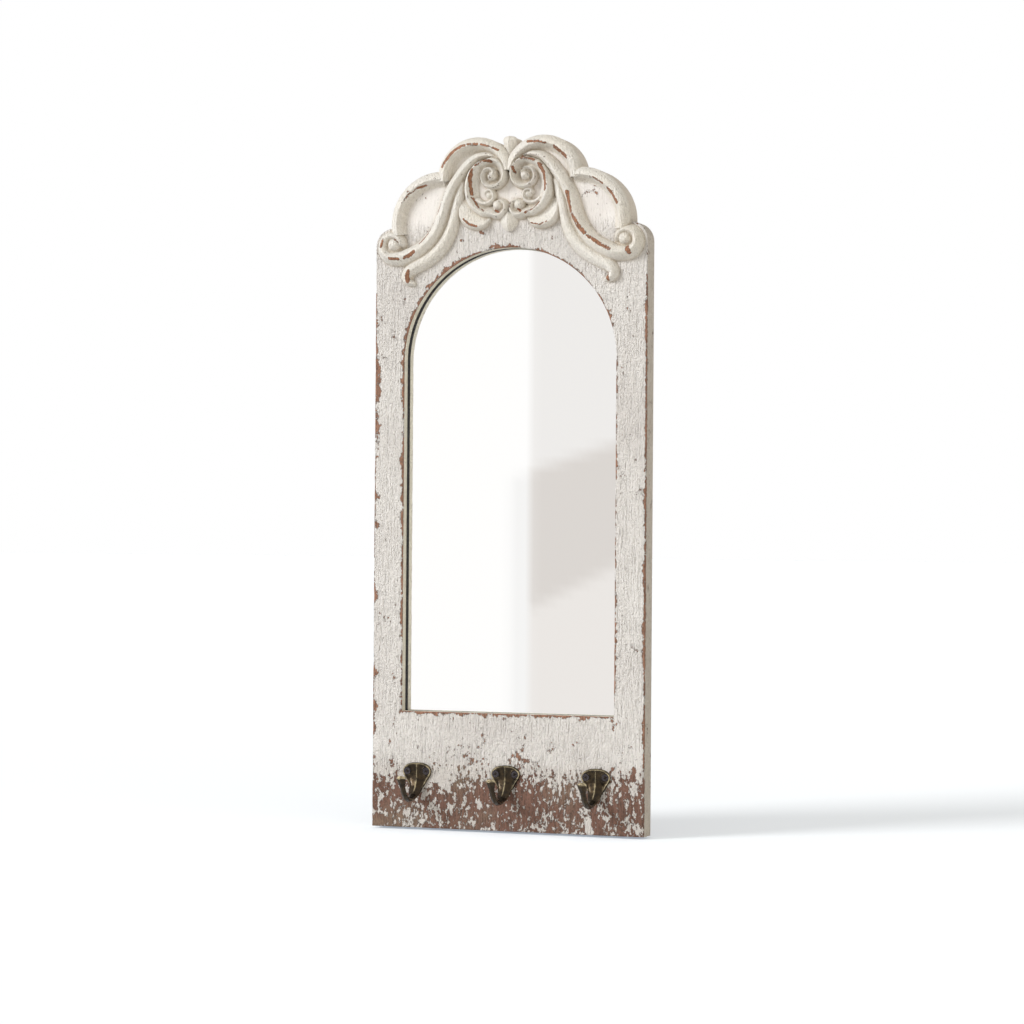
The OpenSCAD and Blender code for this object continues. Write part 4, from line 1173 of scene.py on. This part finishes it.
def border_roll(name, lobe, arc, side, height, material):
    """A roll moulding as a closed solid: angle round the lobe's centre by distance from it. It
    is flattened against the centreline, and its outer wall meets the board's edge."""
    angle = np.radians(np.linspace(arc[0], arc[1], 240))
    r = lobe[2] - ROLL_W + ROLL_W * np.linspace(0, 1, 44)
    a, r = np.meshgrid(angle, r, indexing="ij")
    x, z = side * np.maximum(lobe[0] + r * np.cos(a), SEAM), lobe[1] + r * np.sin(a)
    knock = smooth_step(rough_noise(x, z, 6, 141), 0.58, 0.8)
    h = roll_height(r, lobe[2], height)
    h = h + 0.06 * wander(x, z, 4, 151) - 0.35 * knock * (h > height * 0.7)
    ridge = np.clip((h / height - 0.86) / 0.12, 0, 1)
    edge = np.exp(-(lobe[2] - r) / 1.2)
    marks = {
        "wear": carving_wear(x, z, np.maximum(ridge, edge)),
        # Hollows darkened by a stain and by painted shade.
        "shade_and_stain": cavity_at(x, z, h),
    }
    top, under = on_board(x, z, h), on_board(x, z, 0 * h - BORDER_SUNK)
    return closed_grid(name, top, under, marks, material, 50)


def crest_drop(name, rows, material):
    """A drop or bud as a closed solid: rows of [z, half width, height], and across each row the
    height falls from a middle ridge as 1 - 0.62 t - 0.20 t^3."""
    line = smooth_path(rows, 8)
    t = np.linspace(-1, 1, 37)
    z = np.repeat(line[:, :1], len(t), axis=1)
    x = line[:, 1:2] * t
    h = line[:, 2:3] * (1 - 0.62 * np.abs(t) - 0.20 * np.abs(t) ** 3)
    marks = {
        "wear": carving_wear(x, z, np.exp(-np.abs(x) / 0.8)),
        # Hollows darkened by a stain and by painted shade.
        "shade_and_stain": cavity_at(x, z, h) * 0.8,
    }
    top, under = on_board(x, z, h), on_board(x, z, 0 * h - SUNK)
    return closed_grid(name, top, under, marks, material, 60)


class MIRROR_OT_borders(Operator):
    """The four roll mouldings round the lobes of the crest"""

    bl_idname = "hook_mirror.borders"
    bl_label = "Borders"

    def execute(self, context):
        scene = context.scene
        height = scene.mirror_crest.border_height / MM
        paint = old_paint("crest_paint", scene.mirror_colours)
        lobes = (("upper", UPPER_LOBE, UPPER_ARC), ("lower", LOWER_LOBE, LOWER_ARC))
        for level, lobe, arc in lobes:
            for hand, side in (("left", -1), ("right", 1)):
                piece = border_roll(f"{level}_roll_{hand}", lobe, arc, side, height, paint)
                seat(piece, f"{level}_border_{hand}")
        return {"FINISHED"}


class MIRROR_OT_scrolls(Operator):
    """The S-scrolls with their volutes and lower ribbons, and the C-scrolls with their leaves"""

    bl_idname = "hook_mirror.scrolls"
    bl_label = "Scrolls"

    def execute(self, context):
        paint = old_paint("crest_paint", context.scene.mirror_colours)
        for key in ("s", "c"):
            for hand, side in (("left", -1), ("right", 1)):
                piece = carved_scroll(f"{key}_carving_{hand}", key, side, paint)
                seat(piece, f"{key}_scroll_{hand}")
        return {"FINISHED"}


class MIRROR_OT_drops(Operator):
    """The drop between the C-scrolls and the bud at the top of the crest"""

    bl_idname = "hook_mirror.drops"
    bl_label = "Stem and finial"

    def execute(self, context):
        sizes = context.scene.mirror_crest
        paint = old_paint("crest_paint", context.scene.mirror_colours)
        for name, knots, height, node in (
            ("drop", STEM_KNOTS, sizes.stem_height / MM, "crest_stem"),
            ("bud", FINIAL_KNOTS, sizes.finial_height / MM, "crest_finial"),
        ):
            rows = [[z, width / 2, height * share] for z, width, share in knots]
            seat(crest_drop(name, rows, paint), node)
        return {"FINISHED"}


# ------------------------------------------------------------------ the hooks
# The plate's right half as x and z from the hook's screws, and the prong as its share of the
# reach, z, width and thickness; in TIP_KNOTS the third number is the share of the flare.

PLATE_KNOTS = [
    [0, 8.1], [6, 7.6], [11.2, 5.4], [14, 1.4], [13.7, -3.2], [11.0, -7.6], [8.6, -11.6],
    [6.0, -15.0], [0, -16.6],
]
PRONG_KNOTS = [
    [0.02, -0.5, 2.8, 0.3], [0.032, -6, 2.85, 0.46], [0.055, -12, 2.75, 0.9],
    [0.12, -18, 2.4, 1.1], [0.26, -23.0, 1.75, 1.12], [0.46, -25.1, 1.35, 1.1],
    [0.63, -23.2, 1.12, 1.06], [0.755, -18.6, 1.03, 1.03], [0.84, -12.6, 1, 1],
]
TIP_KNOTS = [
    [0.862, -10.4, 0.2, 1], [0.882, -8.2, 0.5, 1.05], [0.91, -5.8, 0.85, 1.18],
    [0.928, -4.3, 1, 1.22], [0.938, -3.3, 0.85, 1.05], [0.944, -2.7, 0.45, 0.6],
]
CROWN = 0.16  # height of the ridge along the prong's outer side, in half thicknesses
NECK_CROWN = 0.22  # height of the ridge along its inner side at the neck
NECK = (32, 46)  # stations of the prong over which the neck ends
NIB, NIB_TURN = 1.1, (25, 45, 62, 76, 86)  # how far the rounded tip stands out, and its angles
PRONG_SIDES, PLATE_RAYS = 40, 180
PLATE_CENTRE = (0.0, -2.5)
SEAT_R = 3.5  # radius of the flat seat round each screw


def prong_line(sizes):
    """The prong's middle line as [out, up, half width, half thickness], long enough for its
    foremost point to stand at the hook's reach."""
    reach, wide, thick, tip_wide = (
        length / MM
        for length in (sizes.reach, sizes.prong_width, sizes.prong_thickness, sizes.tip_width)
    )
    stem = [[out, up, w * wide, t * thick] for out, up, w, t in PRONG_KNOTS]
    tip = [[out, up, wide + (tip_wide - wide) * w, t * thick] for out, up, w, t in TIP_KNOTS]
    line = smooth_path(stem + tip, 10)
    way = np.gradient(line[:, :2] * [reach, 1], axis=0)
    lift = way[:, 1] / np.linalg.norm(way, axis=1)
    front = (line[:, 0] * reach + line[:, 3] / 2 * (1 + CROWN) * lift).max()
    line[:, 0] *= 2 * reach - front
    return line * [1, 1, 0.5, 0.5]


def build_prong(sizes):
    """Places, quads, ends and edge mark of the prong: an oval section with a ridge along its
    outer side, carried along the middle line and closed with a rounded tip."""
    line = prong_line(sizes)
    a = np.linspace(0, 2 * math.pi, PRONG_SIDES, endpoint=False)
    end = np.radians(NIB_TURN)
    way = np.gradient(line[:, :2], axis=0)
    way /= np.linalg.norm(way, axis=1)[:, None]
    nib = np.hstack([
        line[-1, :2] + way[-1] * NIB * np.sin(end)[:, None], line[-1, 2:] * np.cos(end)[:, None],
    ])
    line, way = np.vstack([line, nib]), np.vstack([way, np.repeat(way[-1:], len(end), axis=0)])
    cos, sin = np.cos(a), np.sin(a)
    rows = np.arange(len(line))[:, None]
    neck = 1 - smooth_step(rows, *NECK)
    inner, outer = (bell(np.degrees(a) - at, 7)[None, :] for at in (90, 270))
    crown = 1 + NECK_CROWN * inner * neck + CROWN * outer * (1 - neck)
    x = line[:, 2:3] * np.sign(cos) * np.abs(cos) ** 0.9
    off = line[:, 3:4] * sin * crown
    out = line[:, :1] - off * way[:, 1:2]
    up = line[:, 1:2] + off * way[:, :1]
    first = np.arange(PRONG_SIDES)
    ends = [first[::-1], (len(line) - 1) * PRONG_SIDES + first]
    quads = grid_quads(len(line), PRONG_SIDES, False, True)
    rim = 0.6 * np.abs(cos)[None, :] ** 6 + 0.9 * inner * neck
    tip = smooth_step(rows, 108, len(line) - 4)
    return x, out, up, quads, ends, np.clip(rim + 0.8 * tip, 0, 1)


def build_plate(sizes):
    """Places and edge mark of the plate: rays from its middle by share of the way to its
    outline. The face has a rim, a dished field, a middle ridge and a seat for each screw."""
    half = smooth_path(PLATE_KNOTS, 12)
    loop = np.vstack([half, half[-2:0:-1] * [-1, 1]]) - PLATE_CENTRE
    angle = np.unwrap(np.arctan2(loop[:, 1], loop[:, 0]))
    order = np.argsort(angle)
    ray = np.linspace(-math.pi, math.pi, PLATE_RAYS, endpoint=False)
    radius = np.hypot(loop[:, 0], loop[:, 1])
    reach = np.interp(ray, angle[order], radius[order], period=2 * math.pi)[:, None]
    q = np.concatenate([np.linspace(0.02, 0.84, 26), np.linspace(0.86, 1, 10)])
    x = reach * q * np.cos(ray)[:, None]
    up = PLATE_CENTRE[1] + reach * q * np.sin(ray)[:, None]
    inset = reach * (1 - q)
    full = sizes.plate_thickness / MM
    rim = bell(inset - 1.1, 0.75)
    spine = bell(x, 0.65) * smooth_step(inset, 0.6, 3)
    root = bell(x, 5) * smooth_step(-up, 2, 9) * smooth_step(inset, 0.4, 2.5)
    h = full * (0.76 - 0.34 * np.exp(-inset / 0.35)) + 0.55 * rim + 0.8 * spine + 0.5 * root
    screw = np.hypot(np.abs(x) - HOOK_SCREW_X, up)
    lip = 0.3 * bell(screw - 4.1, 0.5)
    seated = np.minimum(h, full - 0.35)
    h = np.where(screw < SEAT_R, seated, h + lip * smooth_step(screw, SEAT_R - 0.1, SEAT_R + 0.2))
    mark = np.clip(rim * 0.75 + np.exp(-inset / 0.3) * 0.5 + 0.7 * spine + lip * 1.5, 0, 1)
    return x, up, h, mark


def build_hook(name, centre, sizes, material):
    """One hook: plate and prong in one mesh, the plate closed by a flat back on the board."""
    x, up, h, mark = build_plate(sizes)
    rows, cols = x.shape
    face = grid_quads(rows, cols, True, False)
    here = np.arange(rows) * cols + cols - 1
    there = np.roll(here, -1)
    rim = np.stack([here, here + x.size, there + x.size, there], axis=-1)
    hubs = [np.arange(rows) * cols, np.arange(rows)[::-1] * cols + x.size]
    plate = [on_board(centre + x, HOOK_Z + up, side).reshape(-1, 3) for side in (h, 0 * h + 0.02)]
    px, out, pup, prong_quads, ends, prong_mark = build_prong(sizes)
    prong = on_board(centre + px, HOOK_Z + pup, out).reshape(-1, 3)
    a, b, c = (prong[prong_quads[:, k]] for k in range(3))
    if (np.cross(b - a, c - a) * (a - prong.mean(axis=0))).sum() < 0:
        prong_quads, ends = prong_quads[:, ::-1], [end[::-1] for end in ends]
    points = np.concatenate([*plate, prong])
    quads = np.concatenate([face, face[:, ::-1] + x.size, rim, prong_quads + 2 * x.size])
    rounds = hubs + [end + 2 * x.size for end in ends]
    marks = {"edge": np.concatenate([mark.ravel(), mark.ravel() * 0, prong_mark.ravel()])}
    return add_mesh(name, points, quads, marks, material, 45, rounds)


class MIRROR_OT_hooks(Operator):
    """The three cast hooks and their screws"""

    bl_idname = "hook_mirror.hooks"
    bl_label = "Hooks"

    def execute(self, context):
        scene = context.scene
        bronze = antique_bronze(scene.mirror_colours)
        for place, centre in zip(("left", "middle", "right"), HOOK_X):
            piece = build_hook(f"cast_hook_{place}", centre, scene.mirror_hooks, bronze)
            seat(piece, f"hook_{place}")
        dress("hook_screws", plain_metal("dark_screw_steel", (46, 43, 45), (86, 81, 84), 0.3, 1.2))
        return {"FINISHED"}


# ------------------------------------------------------------------ glass and back


class MIRROR_OT_sheets(Operator):
    """The mirror, its packing card and the back panel"""

    bl_idname = "hook_mirror.sheets"
    bl_label = "Mirror and sheets"

    def execute(self, context):
        dress("mirror_glass", mirror_silver(context.scene.mirror_colours))
        dress("filler_card", fibre_sheet("packing_card", (148, 122, 88), (176, 150, 114), 4.0))
        dress("back_panel", fibre_sheet("hard_fibre_panel", (104, 74, 46), (134, 98, 62), 9.0))
        return {"FINISHED"}


class MIRROR_OT_fittings(Operator):
    """The turn buttons, hangers, rings, screws and wall pads on the back"""

    bl_idname = "hook_mirror.fittings"
    bl_label = "Back fittings"

    def execute(self, context):
        zinc = plain_metal("zinc_plate", (150, 150, 146), (190, 190, 184), 0.36, 4.0)
        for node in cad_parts:
            if node.startswith(("turn_button", "hanger_s", "button_screws")):
                dress(node, zinc)
        for hand in ("left", "right"):
            ring = joined_copy(f"hanger_ring_{hand}", f"wire_ring_{hand}", zinc)
            seat(ring, f"hanger_ring_{hand}", f"ring_{hand}")
        dress("wall_pads", soft_rubber((66, 64, 61), (84, 81, 77)))
        return {"FINISHED"}


# ------------------------------------------------------------------ stage


# Lamps as the direction of their light, their spread in degrees and their colour.
KEY_LIGHT = ((0.66, 0.66, -0.42), 22, (0.96, 0.98, 1.0))
FILL_LIGHT = ((-0.8, 0.6, -0.1), 60, (1.0, 0.93, 0.76))
SKY_COLOUR = (1.0, 0.95, 0.85)
FLOOR_COLOUR, FLOOR_HALF = (0.86, 0.86, 0.86), 30.0
FLOOR_GLOW, FLOOR_GLOW_COLOUR = 0.38, (0.75, 0.86, 1.0)
FLOOR_GAP = 0.002

# The reflection card, in metres: its place, and the slanting upper and lower limits of its
# darker grey as slope, x and z.
CARD_Y, CARD_HALF, CARD_TOP = -1.35, 1.5, 1.0
UPPER_SLANT, LOWER_SLANT = (0.311, -0.4362, -0.1958), (0.483, -0.4272, -0.388)
CARD_COOL, CARD_WARM = (1.0, 0.995, 0.985), (1.0, 0.945, 0.895)

# The camera: azimuth, elevation and roll in degrees, the point it looks at in millimetres from
# the origin, its distance in metres, and its sensor and lens in millimetres.
VIEW_ANGLES = (19.403, -0.458, 0.411)
VIEW_TARGET = (-3.55, -3.8, -267.47)
VIEW_DISTANCE = 2.6677
SENSOR_W, LENS = 36, 99.497


def sun(name, energy, direction, angle, colour):
    """A far lamp that shines along a direction, as wide as the angle makes it soft."""
    lamp = bpy.data.lights.new(name, "SUN")
    lamp.energy, lamp.angle, lamp.color = energy, math.radians(angle), colour
    place(name, lamp).rotation_euler = Vector(direction).to_track_quat("-Z", "Y").to_euler()


def empty_graph(owner):
    """The graph of a world or material, without the nodes that it comes with."""
    graph = Graph(owner)
    graph.tree.nodes.clear()
    return graph


def seen_directly(graph):
    """1 for camera, glossy and transmission rays, so that metal and glass see it as well."""
    rays = graph.add("ShaderNodeLightPath").outputs
    total = rays["Is Camera Ray"]
    for ray in ("Is Glossy Ray", "Is Transmission Ray"):
        total = graph.math("ADD", total, rays[ray], use_clamp=True)
    return total


def white_world(strength):
    """White to the camera and in reflections, and a softer warm light on the object."""
    world = bpy.data.worlds.new("studio_white")
    graph = empty_graph(world)
    light = graph.add("ShaderNodeBackground", {0: SKY_COLOUR, 1: strength}).outputs[0]
    white = graph.add("ShaderNodeBackground", {0: (1, 1, 1), 1: 1.0}).outputs[0]
    mix = graph.add("ShaderNodeMixShader", {0: seen_directly(graph), 1: light, 2: white})
    graph.add("ShaderNodeOutputWorld", {0: mix.outputs[0]})
    bpy.context.scene.world = world


def pale_floor(level):
    """A wide pale floor that keeps the object's shadow and meets the white background."""
    material = bpy.data.materials.new("pale_floor")
    graph = empty_graph(material)
    matt = graph.add("ShaderNodeBsdfDiffuse", {0: FLOOR_COLOUR}).outputs[0]
    lift = graph.times(seen_directly(graph), FLOOR_GLOW)
    glow = graph.add("ShaderNodeEmission", {0: FLOOR_GLOW_COLOUR, 1: lift}).outputs[0]
    both = graph.add("ShaderNodeAddShader", {0: matt, 1: glow}).outputs[0]
    graph.add("ShaderNodeOutputMaterial", {0: both})
    mesh = bpy.data.meshes.new("floor")
    corners = ((-1, -1), (1, -1), (1, 1), (-1, 1))
    corners = [(FLOOR_HALF * x, FLOOR_HALF * y, level) for x, y in corners]
    mesh.from_pydata(corners, [], [(0, 1, 2, 3)])
    mesh.materials.append(material)
    place("floor", mesh)


def reflection_card():
    """A wide upright card in front of the object that only the mirror and the metal see. It
    glows white on the left, and a warm grey on the right: darker between two slanting lines,
    and lighter again below them. A narrow dimmer strip stands left of the grey, low down."""
    x, z = np.meshgrid(
        np.linspace(-CARD_HALF, CARD_HALF, 241), np.linspace(BOARD_LOW.z, CARD_TOP, 121)
    )
    right = smooth_step(x, -0.449, -0.434) * (1 - smooth_step(x, 0.0, 0.7))
    under_upper, under_lower = (
        smooth_step(slope * (x - at_x) + at_z - z, -0.012, 0.012)
        for slope, at_x, at_z in (UPPER_SLANT, LOWER_SLANT)
    )
    between = under_upper * (1 - under_lower)
    strip = smooth_step(x, -0.480, -0.466) * (x < -0.434) * (1 - right) * under_upper
    marks = {
        "glow": 1.02 - right * (0.145 + 0.150 * between + 0.025 * under_lower) - 0.085 * strip,
        "warmth": right * (0.3 + 0.6 * between + 0.35 * under_lower),
    }
    material = bpy.data.materials.new("reflection_card")
    graph = empty_graph(material)
    tint = graph.blend(graph.mark("warmth"), CARD_COOL, CARD_WARM)
    lamp = graph.add("ShaderNodeEmission", {0: tint, 1: graph.mark("glow")}).outputs[0]
    graph.add("ShaderNodeOutputMaterial", {0: lamp})
    front, back = (np.stack([x, 0 * x + y, z], axis=-1) for y in (CARD_Y, CARD_Y - 0.01))
    card = closed_grid("reflection_card", front, back, marks, material, 40)
    card.visible_camera = card.visible_diffuse = card.visible_shadow = False


def photo_camera():
    """Camera 2.67 m away, 19 degrees to the right of the front and level with the middle, with
    a long lens."""
    az, el, roll = (math.radians(angle) for angle in VIEW_ANGLES)
    back = Vector((math.sin(az) * math.cos(el), -math.cos(az) * math.cos(el), math.sin(el)))
    flat = (-back).cross(Vector((0, 0, 1))).normalized()
    tall = flat.cross(-back)
    right = flat * math.cos(roll) + tall * math.sin(roll)
    up = tall * math.cos(roll) - flat * math.sin(roll)
    camera = bpy.data.cameras.new("photo_camera")
    camera.sensor_width, camera.lens, camera.clip_end = SENSOR_W, LENS, 200
    holder = place("photo_camera", camera)
    stand = Matrix.Translation(Vector(VIEW_TARGET) * MM + back * VIEW_DISTANCE)
    holder.matrix_world = stand @ Matrix((right, up, back)).transposed().to_4x4()
    bpy.context.scene.camera = holder


class MIRROR_OT_stage(Operator):
    """The pale floor, the soft lights, the white background and the camera"""

    bl_idname = "hook_mirror.stage"
    bl_label = "Stage"

    def execute(self, context):
        stage = context.scene.mirror_stage
        white_world(stage.sky)
        sun("key_light", stage.key, *KEY_LIGHT)
        sun("fill_light", stage.fill, *FILL_LIGHT)
        pale_floor(BOARD_LOW.z - stage.floor_drop - FLOOR_GAP)
        reflection_card()
        photo_camera()
        context.scene.view_settings.view_transform = "Standard"
        return {"FINISHED"}


# ------------------------------------------------------------------ add-on

OPERATORS = (
    MIRROR_OT_board,
    MIRROR_OT_borders,
    MIRROR_OT_scrolls,
    MIRROR_OT_drops,
    MIRROR_OT_hooks,
    MIRROR_OT_sheets,
    MIRROR_OT_fittings,
    MIRROR_OT_stage,
)


class MIRROR_PT_panel(Panel):
    """Settings of the mirror and a button for each group of its pieces"""

    bl_label = "Mirror with Hooks"
    bl_space_type = "VIEW_3D"
    bl_region_type = "UI"
    bl_category = "Mirror"

    def draw(self, context):
        for operator in OPERATORS:
            self.layout.operator(operator.bl_idname)
        for key, group in SETTINGS.items():
            box = self.layout.box()
            box.label(text=key.replace("_", " ").capitalize())
            for setting in group.__annotations__:
                box.prop(getattr(context.scene, key), setting)


def register():
    for group in SETTINGS.values():
        bpy.utils.register_class(group)
    for operator in OPERATORS:
        bpy.utils.register_class(operator)
    bpy.utils.register_class(MIRROR_PT_panel)
    for key, group in SETTINGS.items():
        setattr(bpy.types.Scene, key, PointerProperty(type=group))


def unregister():
    for key in SETTINGS:
        delattr(bpy.types.Scene, key)
    for group in (MIRROR_PT_panel, *OPERATORS[::-1], *SETTINGS.values()):
        bpy.utils.unregister_class(group)


def main():
    """Builds every piece in order."""
    register()
    for operator in OPERATORS:
        group, action = operator.bl_idname.split(".")
        getattr(getattr(bpy.ops, group), action)()


if __name__ == "__main__":
    main()
